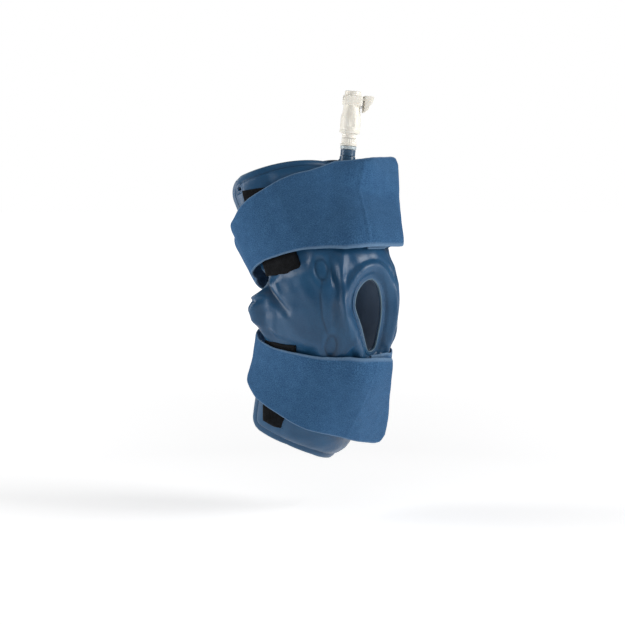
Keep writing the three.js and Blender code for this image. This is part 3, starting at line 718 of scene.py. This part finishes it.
def strap_piece(name, strap, u_values, tab, material):
    rows = 64
    section = cross_section(rows, 80)
    u, v = np.meshgrid(u_values, section[:, 0], indexing="ij")
    depth = np.broadcast_to(section[:, 1], u.shape)
    around, s_abs, base, to_end = (end_places if tab else wrap_places)(strap, u, v)
    outer_layer = u > (-1 if tab else 0.5)
    near, far = strap_edges(strap, around, outer_layer)
    s = strap["side"] * s_abs
    inside = np.clip(v, 0, 1)
    inward = np.minimum(np.minimum(inside, 1 - inside) * np.abs(far - near), to_end)

    pinch = 0.42 * (1 - ease(inward / 2.4))  # the cut edges are pressed thinner
    soft = 0.16 * ripple(around + (u > 0.5) * 3, s, 31, 16, 46)
    ridge = bump((around + along(strap["ridge"], s_abs)) * PER_DEGREE, 1.5) * outer_layer
    outer = depth * STRAP_THICK - pinch * (2 * depth - 1) + soft * ease(inward / 6)
    outer = outer + strap["pressed"] * ridge * depth * ease(inward / 3)
    points = skin(around, s, base + outer, strap_swell(strap, around, s))

    ids = np.arange(u.size).reshape(u.shape)
    on_edge = (depth > 0.1) & (depth < 0.9)
    rim = np.maximum(1 - ease((inward - 0.15) / 0.75), on_edge)
    turns = around if tab else np.where(u < 0.5, around - 360, around)
    uv = np.stack([turns * PER_DEGREE, s_abs], -1).reshape(-1, 2)
    junction = np.zeros(u.size, bool)
    junction[ids[0 if tab else -1]] = True
    return make(name, points.reshape(-1, 3), swept(ids) + end_caps(ids, rows), material, uv=uv,
                values={"rim": rim.ravel(), "depth": depth.ravel()}, sharp=junction)


def add_straps(loop_finish):
    for part, strap in STRAPS.items():
        band = strap_piece(f"{part}_strap_wrap", strap, np.linspace(0, 1, 420), False, loop_finish)
        shares = np.sin(np.linspace(0, math.pi / 2, 48))
        tab = strap_piece(f"{part}_strap_end", strap, shares, True, loop_finish)
        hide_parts(f"{part}_strap_band")
        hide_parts(f"{part}_strap_tab")
        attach(band, f"{part}_cuff")

        # a line along the peel and a direction square to it, out towards the free end's tip; they
        # are worked out but not used
        side, off = strap["side"], STRAP_OFF + LAYER_RISE + 1
        low, high = skin(-CREASE_SLANT * np.array([0, 1.0]),
                         side * np.array([strap["near"][0][1], strap["far"][0][1]]), off)
        middle = sum(strap["tab"]) / 2
        swell = strap_swell(strap, np.array(-50.0), np.array(65.0 * side))
        tip = skin(-along(strap["tab_end"], middle), side * middle, off, swell)
        line = (high - low) / np.linalg.norm(high - low)
        out = tip - low
        out -= line * (out @ line)
        out /= np.linalg.norm(out)
        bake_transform(tab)


def add_tab_hooks(material):
    """The patch on the back of each free end, which grips the layer below."""
    for part, strap in STRAPS.items():
        def surface(u, v, height):
            level = mix(*strap["tab"], mix(0.16, 0.84, v))
            around = mix(15, 4, u) - along(strap["tab_end"], level)
            s = strap["side"] * level
            off = STRAP_OFF + LAYER_RISE + 0.15 - height
            return skin(around, s, off, strap_swell(strap, around, s))
        piece = hook_patch(f"{part}_end_hook_tape", surface, 15, 60, material)
        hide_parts(f"{part}_tab_hook")
        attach(piece, f"{part}_free_end")


# ---- Turned and cut pieces ---------------------------------------------------------------------
def rounded(profile, radii, steps=4):
    """A closed outline with its corners rounded; radii is one number or one for each corner."""
    p = np.asarray(profile, float)
    radii = np.broadcast_to(radii, len(p))
    found = []
    for k, (corner, r) in enumerate(zip(p, radii)):
        before, after = p[k - 1] - corner, p[(k + 1) % len(p)] - corner
        lb, la = np.linalg.norm(before), np.linalg.norm(after)
        reach = min(r, lb * 0.48, la * 0.48)
        if reach < 1e-3 or corner[0] < 1e-6:
            found.append(corner)
            continue
        a, b = corner + before / lb * reach, corner + after / la * reach
        for i in range(steps + 1):
            t = i / steps
            found.append((1 - t) ** 2 * a + 2 * t * (1 - t) * corner + t * t * b)
    return np.array(found)


def turned(name, profile, material, matrix, segments=72, ribs=None):
    """A closed turned piece about +Z. ribs(angle, r, z) may change the radius."""
    points, rings = [], []
    turn = np.linspace(0, 2 * math.pi, segments, endpoint=False)
    for r, z in profile:
        if r < 1e-6:
            rings.append([len(points)])
            points.append((0, 0, z))
            continue
        reach = r + (ribs(turn, r, z) if ribs else 0 * turn)
        rings.append(list(range(len(points), len(points) + segments)))
        points.extend(zip(reach * np.cos(turn), reach * np.sin(turn), np.full(segments, z)))
    faces = []
    for lower, upper in zip(rings, rings[1:] + rings[:1]):
        for k in range(segments):
            n = (k + 1) % segments
            if len(lower) == 1 and len(upper) == 1:
                break
            if len(lower) == 1:
                faces.append((lower[0], upper[n], upper[k]))
            elif len(upper) == 1:
                faces.append((lower[k], lower[n], upper[0]))
            else:
                faces.append((lower[k], lower[n], upper[n], upper[k]))
    piece = make(name, points, faces, material)
    piece.data.set_sharp_from_angle(angle=math.radians(38))
    if matrix is not None:
        piece.data.transform(matrix)
    return piece


def prism(name, outline, low, high, material, bevel=0.5):
    """An outline in x and z drawn out along y from low to high, with its edges rounded."""
    work = bmesh.new()
    lower = [work.verts.new((x * MM, low * MM, z * MM)) for x, z in outline]
    face = work.faces.new(lower)
    made = bmesh.ops.extrude_face_region(work, geom=[face])
    new = [g for g in made["geom"] if isinstance(g, bmesh.types.BMVert)]
    bmesh.ops.translate(work, verts=new, vec=(0, (high - low) * MM, 0))
    bmesh.ops.recalc_face_normals(work, faces=work.faces)
    edges = [e for e in work.edges
             if len(e.link_faces) == 2 and e.calc_face_angle() > math.radians(35)]
    bmesh.ops.bevel(work, geom=edges, offset=bevel * MM, segments=3, affect="EDGES", profile=0.5)
    mesh = bpy.data.meshes.new(name)
    work.to_mesh(mesh)
    work.free()
    mesh.materials.append(material)
    piece = bpy.data.objects.new(name, mesh)
    bpy.context.scene.collection.objects.link(piece)
    return piece


def shade(piece, angle):
    """Shades a piece smooth, but for the edges sharper than an angle in degrees."""
    piece.data.polygons.foreach_set("use_smooth", np.ones(len(piece.data.polygons), bool))
    piece.data.set_sharp_from_angle(angle=math.radians(angle))


def rod(name, radius, low, high, material, matrix=None, segments=72):
    """A plain cylinder about +Z."""
    profile = [(0, low), (radius, low), (radius, high), (0, high)]
    return turned(name, profile, material, matrix, segments)


def block(name, x, y, z, material, bevel=0.0):
    """A box between two places along each axis."""
    outline = [(x[0], z[0]), (x[1], z[0]), (x[1], z[1]), (x[0], z[1])]
    return prism(name, outline, *y, material, bevel)


def apply_modifiers(piece):
    """Turns what a piece's modifiers make into its own mesh."""
    bpy.context.view_layer.update()
    shown = piece.evaluated_get(bpy.context.evaluated_depsgraph_get())
    result = bpy.data.meshes.new_from_object(shown)
    piece.modifiers.clear()
    piece.data = result


def combine(piece, *cuts, operation="DIFFERENCE"):
    """Cuts pieces from a piece, or joins them to it, and removes them."""
    for cut in cuts:
        modifier = piece.modifiers.new("cut", "BOOLEAN")
        modifier.operation, modifier.object, modifier.solver = operation, cut, "EXACT"
        apply_modifiers(piece)
        bpy.data.objects.remove(cut)


def soften(piece, width, angle=40):
    """Rounds a piece's hard edges and keeps flat faces flat."""
    bevel = piece.modifiers.new("bevel", "BEVEL")
    bevel.width, bevel.segments, bevel.limit_method = width * MM, 3, "ANGLE"
    bevel.angle_limit = math.radians(angle)
    bevel.use_clamp_overlap = True
    apply_modifiers(piece)
    shade(piece, 35)


# ---- Inlet and coupling ------------------------------------------------------------------------
# Heights are from the tube's lower end, along the stem, and bores are radii.
STEM_ORIGIN = Vector((20.45, -12.644, 137.509))
STEM = Matrix(((0.8619, 0.4999, 0.08466), (-0.4993, 0.8659, -0.02988), (-0.0882, -0.0165, 0.99596)))
TUBE_RADIUS, TUBE_BORE, TUBE_LENGTH = 7, 4.6, 6
COLLAR_Z, NECK_Z, CHAMBER_Z, SHOULDER_Z = 6.3, 9.6, 16.6, 21.8
SEAT_Z, LATCH_Z, TOP_Z = 36.2, 53.5, 60.5
NECK_RADIUS, BODY_RADIUS, HEAD_RADIUS = 6.9, 9.4, 7.6
WATER_BORE, SEAT_BORE, CHAMBER_BORE, PLUG_BORE = 2.8, 3.4, 5.4, 5.2
LATCH_TRAVEL = 2.2
SPRING_Z, POCKET_BORE = LATCH_Z - 7, 2.1  # the latch spring and its pocket in the thumb pad
POCKET_END = 13.2  # from the stem's axis to the pocket's foot


def add_body(white, stem):
    """The coupling's body: a turned shell with a square head, a stepped bore and a latch slot."""
    wide, tall = HEAD_RADIUS + 0.6, 2.9
    ring = BODY_RADIUS + 0.2
    shell = turned("coupling_shell", rounded([
        (0, CHAMBER_Z + 0.05), (NECK_RADIUS, CHAMBER_Z + 0.05), (NECK_RADIUS, SHOULDER_Z - 1.6),
        (NECK_RADIUS + 0.9, SHOULDER_Z - 0.6), (ring, SHOULDER_Z - 0.4),
        (ring, SHOULDER_Z + 1.6), (BODY_RADIUS - 0.25, SHOULDER_Z + 2.1),
        (BODY_RADIUS, SHOULDER_Z + 4), (BODY_RADIUS, 35.5), (BODY_RADIUS - 0.7, 38.5),
        (HEAD_RADIUS + 0.1, 45), (HEAD_RADIUS, TOP_Z), (0, TOP_Z),
    ], [0, 0.4, 0.8, 0.6, 0.6, 0.6, 0.3, 1.5, 3, 3, 2.5, 0.7, 0]), white, None, 96)
    cheek = block("cheek", (-wide, wide), (-wide, wide),
                  (LATCH_Z - tall - 3.5, LATCH_Z + tall), white, 0.9)
    combine(shell, cheek, operation="UNION")
    combine(
        shell,
        rod("chamber", CHAMBER_BORE, CHAMBER_Z - 5, SEAT_Z - 1.6, white),
        rod("seat", SEAT_BORE, CHAMBER_Z, SEAT_Z + 2, white),
        turned("socket", [(0, SEAT_Z), (PLUG_BORE, SEAT_Z), (PLUG_BORE, TOP_Z - 1),
                          (6, TOP_Z + 0.4), (6, TOP_Z + 5), (0, TOP_Z + 5)], white, None),
        block("slot", (-12, 12), (-6, 6), (LATCH_Z - 1.6, LATCH_Z + 1.6), white),
    )
    for side in (-1, 1):  # moulded relief panels on the flanks of the body
        outline = [(-3.2, 27), (3.2, 27), (2.6, 37.5), (-2.6, 37.5)]
        panel = prism("panel", outline, 8.9, 11, white, 0.5)
        if side < 0:
            panel.data.transform(Matrix.Rotation(math.pi, 4, "Z"))
        combine(shell, panel)
    soften(shell, 0.3)
    shell.data.transform(stem)
    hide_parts("coupling_body")
    return shell


def add_barb(white, stem):
    """The insert that holds the tube, with a ribbed grip round its neck."""
    foot, grip = TUBE_LENGTH - 4.5, NECK_RADIUS - 0.1
    profile = [
        (WATER_BORE, foot), (3.3, foot), (4.2, foot + 2), (3.5, foot + 2.2), (4.2, foot + 4.2),
        (3.5, foot + 4.4), (3.5, NECK_Z), (7.9, NECK_Z), (7.9, NECK_Z + 1.4),
        (grip, NECK_Z + 1.8), (grip, CHAMBER_Z - 0.25), (WATER_BORE, CHAMBER_Z - 0.25),
    ]

    def ribs(turn, r, z):
        ribbed = r > 6 and NECK_Z + 2.2 < z < CHAMBER_Z - 0.6
        return 0.22 * np.cos(24 * turn) if ribbed else 0 * turn

    radii = [0, 0.2, 0.2, 0.1, 0.2, 0.1, 0.3, 0.4, 0.4, 0.5, 0.4, 0]
    barb = turned("barbed_insert", rounded(profile, radii), white, stem, 96, ribs)
    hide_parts("hose_barb")
    return barb


def add_coupling(finishes):
    stem = STEM.to_4x4()
    stem.translation = STEM_ORIGIN * MM
    white, tube, steel = finishes["white"], finishes["tube"], finishes["steel"]
    shell, barb = add_body(white, stem), add_barb(white, stem)

    outline = [(TUBE_BORE, COLLAR_Z), (7.6, COLLAR_Z),
               (7.6, COLLAR_Z + 3), (TUBE_BORE, COLLAR_Z + 3)]
    band = turned("clear_sleeve", rounded(outline, [0, 0.8, 0.8, 0]), finishes["sleeve"], stem)
    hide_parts("tube_sleeve")
    outline = [(TUBE_BORE, 0), (TUBE_RADIUS, 0), (TUBE_RADIUS - 0.15, 3),
               (TUBE_RADIUS + 0.1, TUBE_LENGTH), (TUBE_BORE, TUBE_LENGTH)]
    hose = turned("inlet_hose", rounded(outline, [0, 0.3, 2, 0.6, 0.3]), tube, stem)
    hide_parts("inlet_tube")
    port = add_port(tube, stem)
    for piece, name in [(shell, "white_plastic"), (barb, "white_plastic"), (band, "clear_sleeve"),
                        (hose, "blue_tube"), (port, "blue_tube")]:
        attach(piece, "thigh_cuff")
    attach(add_latch(white, stem), "latch")

    add_spring("latch_coil", "latch_spring", 1.5, 0.25,
               (HEAD_RADIUS + 0.95, POCKET_END - 0.1), 3.5, steel, stem @ across_stem())
    add_spring("valve_coil", "valve_spring", 2.9, 0.4,
               (CHAMBER_Z + 0.1, SEAT_Z - 4.4), 5, steel, stem)


def across_stem():
    """Turns +Z to the latch spring's line, out from the stem to the thumb pad."""
    lift = Matrix.Translation((0, 0, SPRING_Z * MM))
    return lift @ Matrix.Rotation(math.pi / 2, 4, "Y")


def add_port(material, stem):
    """The welded port: a thin flange on the bladder, a flared boss and a nipple."""
    port_at = skin(TUBE_AROUND, 99, 11.2)
    out = skin(TUBE_AROUND, 99, 21) - port_at
    outline = [(0, 0), (13, 0), (13, 0.9), (9.5, 1.9), (0, 1.9)]
    flange = turned("port", rounded(outline, [0, 0.3, 0.4, 1, 0]), material, None)
    face = Vector(out).to_track_quat("Z", "Y").to_matrix().to_4x4()
    face.translation = Vector(port_at) * MM
    flange.data.transform(face)
    outline = [(0, -24), (9.6, -24), (8.8, -13), (7.6, -6), (7.3, -0.3),
               (4.2, -0.3), (4.2, 1), (0, 1)]
    boss = turned("boss", rounded(outline, [0, 0, 3, 3, 0.6, 0, 0.3, 0]), material, stem)
    combine(flange, boss, operation="UNION")
    below = block("below", (-60, 60), (-60, 60), (-60, 0), material)
    below.data.transform(face)
    combine(flange, below, rod("bore", WATER_BORE, -11, 4, material, stem, 48))
    soften(flange, 0.3)
    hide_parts("inlet_port")
    return flange


def add_spring(name, replaced, radius, wire, ends, turns, material, matrix):
    """A coil about +Z with flat end turns."""
    low, high = ends
    along_wire, round_wire = int(turns * 28), 10
    t = np.linspace(0, 1, along_wire + 1)
    angle = 2 * math.pi * turns * t
    rise = np.clip((t * turns - 0.5) / (turns - 1), 0, 1)
    centre = np.stack([radius * np.cos(angle), radius * np.sin(angle),
                       mix(low + wire, high - wire, rise)], -1)
    ahead = np.gradient(centre, axis=0)
    ahead /= np.linalg.norm(ahead, axis=1)[:, None]
    out = np.stack([np.cos(angle), np.sin(angle), 0 * angle], -1)
    side = np.cross(ahead, out)
    turn = np.linspace(0, 2 * math.pi, round_wire, endpoint=False)[None, :, None]
    round_it = np.cos(turn) * out[:, None] + np.sin(turn) * side[:, None]
    points = (centre[:, None] + wire * round_it).reshape(-1, 3)
    ids = np.arange(len(points)).reshape(-1, round_wire)
    piece = make(name, points, swept(ids) + [ids[0], ids[-1][::-1]], material, matrix=matrix)
    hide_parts(replaced)
    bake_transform(piece)


def add_latch(material, stem):
    """The latch: a plate through the head, with a hole for the plug, and a ridged thumb pad."""
    half, reach = HEAD_RADIUS - 1.9, 20
    plate = block("latch_lever", (-HEAD_RADIUS - 0.4, reach - 3), (-half, half),
                  (LATCH_Z - 1.3, LATCH_Z + 1.3), material, 0.4)
    x0, x1 = HEAD_RADIUS + 1 + LATCH_TRAVEL, reach - 1
    foot = LATCH_Z - 12
    outline = [(x0, LATCH_Z + 3.5), (x1 - 1.5, LATCH_Z + 3.6), (x1 + 0.2, LATCH_Z + 2.6),
               (x1 + 0.4, LATCH_Z + 1)]
    ridges = 5
    for k in range(ridges):  # grip ridges down the outer face
        for t, push in ((k / ridges, 0.35), ((k + 0.5) / ridges, -0.25)):
            outline.append((mix(x1 - 0.4, HEAD_RADIUS + 6.2, t) + push,
                            mix(LATCH_Z - 0.8, LATCH_Z - 10.4, t)))
    outline += [(HEAD_RADIUS + 5.2, foot + 0.4), (HEAD_RADIUS + 4, foot), (x0, foot)]
    pad = prism("pad", outline, -half - 1.5, half + 1.5, material, 0.45)
    combine(plate, pad, operation="UNION")
    hole = rod("hole", PLUG_BORE, LATCH_Z - 3, LATCH_Z + 3, material)
    hole.data.transform(Matrix.Translation((-0.6 * MM, 0, 0)) @ Matrix.Diagonal((1.12, 1, 1, 1)))
    pocket = rod("pocket", POCKET_BORE, HEAD_RADIUS, POCKET_END, material, across_stem())
    combine(plate, hole, pocket)
    soften(plate, 0.25)
    plate.data.transform(stem)
    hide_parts("thumb_latch")
    return plate


# ---- Materials ---------------------------------------------------------------------------------
def srgb(r, g, b):
    """A screen colour, 0 to 255, as the linear colour that nodes take."""
    return (*(c / 255 / 12.92 if c <= 10 else ((c / 255 + 0.055) / 1.055) ** 2.4
              for c in (r, g, b)), 1)


class Finish:
    """A material's node tree, with short calls to build it."""

    def __init__(self, name, roughness, metallic=0.0, **fixed):
        self.material = bpy.data.materials.new(name)
        self.material.use_nodes = True
        self.nodes, self.links = self.material.node_tree.nodes, self.material.node_tree.links
        self.nodes.clear()
        self.shader = self.nodes.new("ShaderNodeBsdfPrincipled")
        output = self.nodes.new("ShaderNodeOutputMaterial")
        self.links.new(self.shader.outputs[0], output.inputs[0])
        self.shader.inputs["Roughness"].default_value = roughness
        self.shader.inputs["Metallic"].default_value = metallic
        for key, value in fixed.items():
            self.shader.inputs[key.replace("_", " ")].default_value = value

    def feed(self, socket, value):
        if isinstance(value, bpy.types.NodeSocket):
            self.links.new(value, socket)
        else:
            socket.default_value = value

    def place(self, kind="Object"):
        return self.nodes.new("ShaderNodeTexCoord").outputs[kind]

    def value(self, name):
        node = self.nodes.new("ShaderNodeAttribute")
        node.attribute_name = name
        return node.outputs["Fac"]

    def math(self, operation, a, b=0.0):
        node = self.nodes.new("ShaderNodeMath")
        node.operation = operation
        self.feed(node.inputs[0], a)
        self.feed(node.inputs[1], b)
        return node.outputs[0]

    def noise(self, place, scale, detail=3, rough=0.6, stretch=(1, 1, 1)):
        mapping = self.nodes.new("ShaderNodeMapping")
        mapping.inputs["Scale"].default_value = stretch
        self.links.new(place, mapping.inputs["Vector"])
        node = self.nodes.new("ShaderNodeTexNoise")
        node.inputs["Scale"].default_value = scale
        node.inputs["Detail"].default_value = detail
        node.inputs["Roughness"].default_value = rough
        self.links.new(mapping.outputs[0], node.inputs["Vector"])
        return node.outputs["Fac"]

    def cells(self, place, scale):
        node = self.nodes.new("ShaderNodeTexVoronoi")
        node.inputs["Scale"].default_value = scale
        self.links.new(place, node.inputs["Vector"])
        return node.outputs["Distance"]

    def range(self, value, low, high, to_low=0.0, to_high=1.0):
        node = self.nodes.new("ShaderNodeMapRange")
        self.feed(node.inputs["Value"], value)
        for key, number in (("From Min", low), ("From Max", high), ("To Min", to_low),
                            ("To Max", to_high)):
            node.inputs[key].default_value = number
        return node.outputs[0]

    def mottle(self, place, scale, detail, to_low=0.0, to_high=1.0):
        """Noise, spread over the range that it mostly has."""
        return self.range(self.noise(place, scale, detail), 0.3, 0.7, to_low, to_high)

    def blend(self, share, a, b):
        node = self.nodes.new("ShaderNodeMix")
        node.data_type = "RGBA"
        self.feed(node.inputs[0], share)
        self.feed(node.inputs[6], a)
        self.feed(node.inputs[7], b)
        return node.outputs[2]

    def waves(self, place, pitch_x, pitch_y):
        """Threads that cross: -1 to 1 for each place on the cloth, the pitches in millimetres."""
        split = self.nodes.new("ShaderNodeSeparateXYZ")
        self.links.new(place, split.inputs[0])
        x = self.math("SINE", self.math("MULTIPLY", split.outputs[0], 2 * math.pi / pitch_x))
        y = self.math("SINE", self.math("MULTIPLY", split.outputs[1], 2 * math.pi / pitch_y))
        return self.math("MULTIPLY", x, y)

    def bump(self, height, strength, distance, below=None):
        node = self.nodes.new("ShaderNodeBump")
        node.inputs["Strength"].default_value = strength
        node.inputs["Distance"].default_value = distance
        self.links.new(height, node.inputs["Height"])
        if below is not None:
            self.links.new(below, node.inputs["Normal"])
        return node.outputs[0]

    def use(self, **sockets):
        for key, value in sockets.items():
            self.feed(self.shader.inputs[key.replace("_", " ")], value)
        return self.material


def bladder_finish():
    f = Finish("bladder_film", 0.34, Coat_Weight=0.08, Coat_Roughness=0.22, Specular_IOR_Level=0.32)
    cloth, here = f.place("UV"), f.place("Object")
    broad = f.mottle(here, 28, 4)
    colour = f.blend(broad, srgb(22, 61, 94), srgb(29, 75, 110))
    speck = f.range(f.noise(cloth, 1.6, 2, 0.7), 0.35, 0.65)
    colour = f.blend(f.math("MULTIPLY", speck, 0.22), colour, srgb(48, 100, 140))
    # Darker along the welds, the seam and the notch's fold: dark weld lines, and painted shade in
    # the grooves and the fold
    colour = f.blend(f.math("MULTIPLY", f.value("weld_and_fold_shade"), 0.55), colour, srgb(17, 35, 54))
    # A painted highlight: a pale grey line along the film's cut edges
    colour = f.blend(f.math("MULTIPLY", f.value("rim"), 0.6), colour, srgb(118, 142, 154))
    weave = f.waves(cloth, 0.62, 0.62)
    normal = f.bump(weave, 0.16, 0.00006)
    normal = f.bump(f.noise(cloth, 0.5, 4, 0.55), 0.35, 0.0004, normal)
    rough = f.mottle(here, 60, 3, 0.3, 0.42)
    return f.use(Base_Color=colour, Roughness=rough, Normal=normal)


def lining_finish():
    f = Finish("lining_knit", 0.92, Sheen_Weight=0.25, Sheen_Roughness=0.5)
    cloth, here = f.place("UV"), f.place("Object")
    knit = f.waves(cloth, 1.3, 1.0)
    shade = f.mottle(here, 45, 3)
    colour = f.blend(shade, srgb(32, 60, 88), srgb(42, 74, 104))
    colour = f.blend(f.range(knit, -1, 1, 0.0, 0.35), colour, srgb(20, 38, 58))
    normal = f.bump(knit, 0.5, 0.0003)
    normal = f.bump(f.noise(cloth, 2.4, 3), 0.3, 0.0003, normal)
    return f.use(Base_Color=colour, Normal=normal)


def strap_finish():
    """Napped loop cloth on foam: short fibres in a mottled blue, and a paler cut edge."""
    f = Finish("strap_loop", 0.96, Sheen_Weight=0.13, Sheen_Roughness=0.4,
               Sheen_Tint=srgb(150, 190, 235), Specular_IOR_Level=0.15)
    cloth = f.place("UV")
    patch = f.mottle(cloth, 0.12, 4)
    colour = f.blend(patch, srgb(50, 87, 125), srgb(61, 101, 139))
    fibre = f.noise(cloth, 0.75, 4, 0.75, (1.0, 1.5, 1))
    colour = f.blend(f.range(fibre, 0.42, 0.6, 0.0, 0.62), colour, srgb(27, 60, 96))
    light = f.noise(cloth, 1.15, 3, 0.8, (1.3, 1, 1))
    colour = f.blend(f.range(light, 0.54, 0.7, 0.0, 0.5), colour, srgb(98, 146, 188))
    colour = f.blend(f.range(f.value("depth"), 0.1, 0.5, 0.6, 0.0), colour, srgb(38, 62, 90))
    colour = f.blend(f.math("MULTIPLY", f.value("rim"), 0.42), colour, srgb(126, 152, 176))
    curls = f.cells(cloth, 1.25)
    normal = f.bump(curls, 0.4, 0.0004)
    normal = f.bump(fibre, 0.6, 0.0006, normal)
    return f.use(Base_Color=colour, Normal=normal)


def hook_finish():
    f = Finish("hook_tape", 0.8, Specular_IOR_Level=0.12)
    cloth, here = f.place("UV"), f.place("Object")
    ribs = f.waves(cloth, 1.9, 1.9)
    colour = f.blend(f.range(f.noise(here, 300, 3), 0.35, 0.65), srgb(9, 10, 12), srgb(19, 21, 24))
    normal = f.bump(ribs, 0.4, 0.0002)
    rough = f.mottle(here, 120, 2, 0.72, 0.88)
    return f.use(Base_Color=colour, Roughness=rough, Normal=normal)


def plastic_finish(name, pale, deep, roughness, **fixed):
    """Moulded plastic: slight mottling, a fine moulded grain and handling marks in the gloss."""
    f = Finish(name, roughness, **fixed)
    here = f.place("Object")
    colour = f.blend(f.mottle(here, 90, 4), pale, deep)
    normal = f.bump(f.noise(here, 2600, 2, 0.6), 0.12, 0.00004)
    normal = f.bump(f.noise(here, 160, 3), 0.1, 0.0002, normal)
    rough = f.range(f.noise(here, 210, 4, 0.7), 0.3, 0.7, roughness - 0.07, roughness + 0.09)
    return f.use(Base_Color=colour, Roughness=rough, Normal=normal)


def steel_finish():
    f = Finish("spring_steel", 0.28, 1.0)
    here = f.place("Object")
    colour = f.blend(f.mottle(here, 500, 3), srgb(176, 178, 182), srgb(206, 207, 209))
    drawn = f.noise(here, 1500, 2, 0.6, (1, 1, 6))
    rough = f.range(drawn, 0.3, 0.7, 0.2, 0.36)
    return f.use(Base_Color=colour, Roughness=rough, Normal=f.bump(drawn, 0.1, 0.00003))


# ---- The object --------------------------------------------------------------------------------
white = plastic_finish("white_plastic", srgb(240, 236, 226), srgb(230, 225, 213), 0.42,
                       Subsurface_Weight=0.12, Subsurface_Radius=(0.003, 0.0025, 0.002))
finishes = {
    "white": white,
    "tube": plastic_finish("blue_tube", srgb(34, 70, 98), srgb(44, 86, 118), 0.36,
                           Coat_Weight=0.2, Coat_Roughness=0.2),
    "sleeve": plastic_finish("clear_sleeve", srgb(226, 236, 240), srgb(212, 226, 232), 0.22,
                             Transmission_Weight=0.45, IOR=1.45),
    "seal": plastic_finish("seal_rubber", srgb(38, 38, 41), srgb(52, 52, 55), 0.62),
    "steel": steel_finish(),
}
strap_loop = strap_finish()
hook_tape = hook_finish()
add_bladder(bladder_finish(), lining_finish())
add_hook_pads(hook_tape)
add_straps(strap_loop)
add_tab_hooks(hook_tape)
add_coupling(finishes)

# the nodes that stay as the CAD has them
KEPT = {"valve_poppet": white, "valve_seal": finishes["seal"], "socket_seal": finishes["seal"]}
for name, material in KEPT.items():
    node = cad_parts[name]
    node.data.materials.clear()
    node.data.materials.append(material)
    shade(node, 40)


# ---- Floor, light and camera -------------------------------------------------------------------
AZIMUTH, ELEVATION, DISTANCE = math.radians(-38), math.radians(5), 1.7
BACK = Vector((math.sin(AZIMUTH) * math.cos(ELEVATION),
               -math.cos(AZIMUTH) * math.cos(ELEVATION), math.sin(ELEVATION)))
RIGHT = Vector((math.cos(AZIMUTH), math.sin(AZIMUTH), 0))
UP = BACK.cross(RIGHT)
AIM = (RIGHT + UP) * -8.93 * MM  # where the photo's middle falls, from the knee's centre
FLOOR_GAP = 0.06  # metres below the lowest place of the CAD


def add_floor():
    """A wide disc that glows more further out, so that it meets the backdrop unseen."""
    radii, turns = np.array([0.4, 0.9, 2.0, 4.5, 9.0]) / MM, 96
    turn = 2 * math.pi * np.arange(turns) / turns
    rings = np.stack([np.outer(radii, np.cos(turn)), np.outer(radii, np.sin(turn)),
                      np.zeros((len(radii), turns))], -1).reshape(-1, 3)
    ids = np.arange(len(rings)).reshape(-1, turns)
    faces = [(len(rings), k, (k + 1) % turns) for k in range(turns)] + swept(ids)
    f = Finish("pale_floor", 0.9, Specular_IOR_Level=0.1)
    here = f.place("Object")
    f.use(Base_Color=f.blend(f.noise(here, 3, 3), srgb(250, 250, 250), srgb(246, 246, 247)))
    reach = f.nodes.new("ShaderNodeVectorMath")
    reach.operation = "LENGTH"
    f.links.new(here, reach.inputs[0])
    f.use(Emission_Strength=f.range(reach.outputs["Value"], 0.4, 2.0, 0.42, 1.0))
    f.shader.inputs["Emission Color"].default_value = (1, 1, 1, 1)
    floor = make("floor", [*rings, (0, 0, 0)], faces, f.material)
    floor.location.z = CAD_BOX[0].z - FLOOR_GAP


def add_light(name, at, size, power, colour=(1, 1, 1)):
    """A soft box at (right, up, back) of the object, in metres, aimed at it."""
    data = bpy.data.lights.new(name, "AREA")
    data.shape, data.size, data.size_y = "RECTANGLE", size[0], size[1]
    data.energy, data.color = power, colour
    light = bpy.data.objects.new(name, data)
    light.location = RIGHT * at[0] + UP * at[1] + BACK * at[2]
    ahead = Vector((0, 0, 0.02)) - light.location
    light.rotation_euler = ahead.to_track_quat("-Z", "Y").to_euler()
    bpy.context.scene.collection.objects.link(light)


def add_world():
    """A white studio backdrop that lights the object less brightly than it looks."""
    world = bpy.data.worlds.new("studio")
    world.use_nodes = True
    nodes, links = world.node_tree.nodes, world.node_tree.links
    path = nodes.new("ShaderNodeLightPath")
    strength = nodes.new("ShaderNodeMapRange")
    strength.inputs["To Min"].default_value, strength.inputs["To Max"].default_value = 0.15, 1.0
    links.new(path.outputs["Is Camera Ray"], strength.inputs["Value"])
    links.new(strength.outputs[0], nodes["Background"].inputs[1])
    nodes["Background"].inputs[0].default_value = (1, 1, 1, 1)
    bpy.context.scene.world = world


add_floor()
add_light("key", (1.55, 0.6, 0.5), (0.7, 1.1), 22)
add_light("left_edge", (-1.25, 0.35, 0.0), (0.5, 1.3), 11)
add_light("fill", (-0.2, 1.5, 1.2), (1.4, 1.0), 2.5)
add_world()
bpy.context.scene.view_settings.view_transform = "Standard"

camera_data = bpy.data.cameras.new("camera")
camera_data.sensor_width, camera_data.lens = 36, 104.2
camera = bpy.data.objects.new("camera", camera_data)
camera.location = AIM + BACK * DISTANCE
camera.rotation_euler = (-BACK).to_track_quat("-Z", "Y").to_euler()
bpy.context.scene.collection.objects.link(camera)
bpy.context.scene.camera = camera
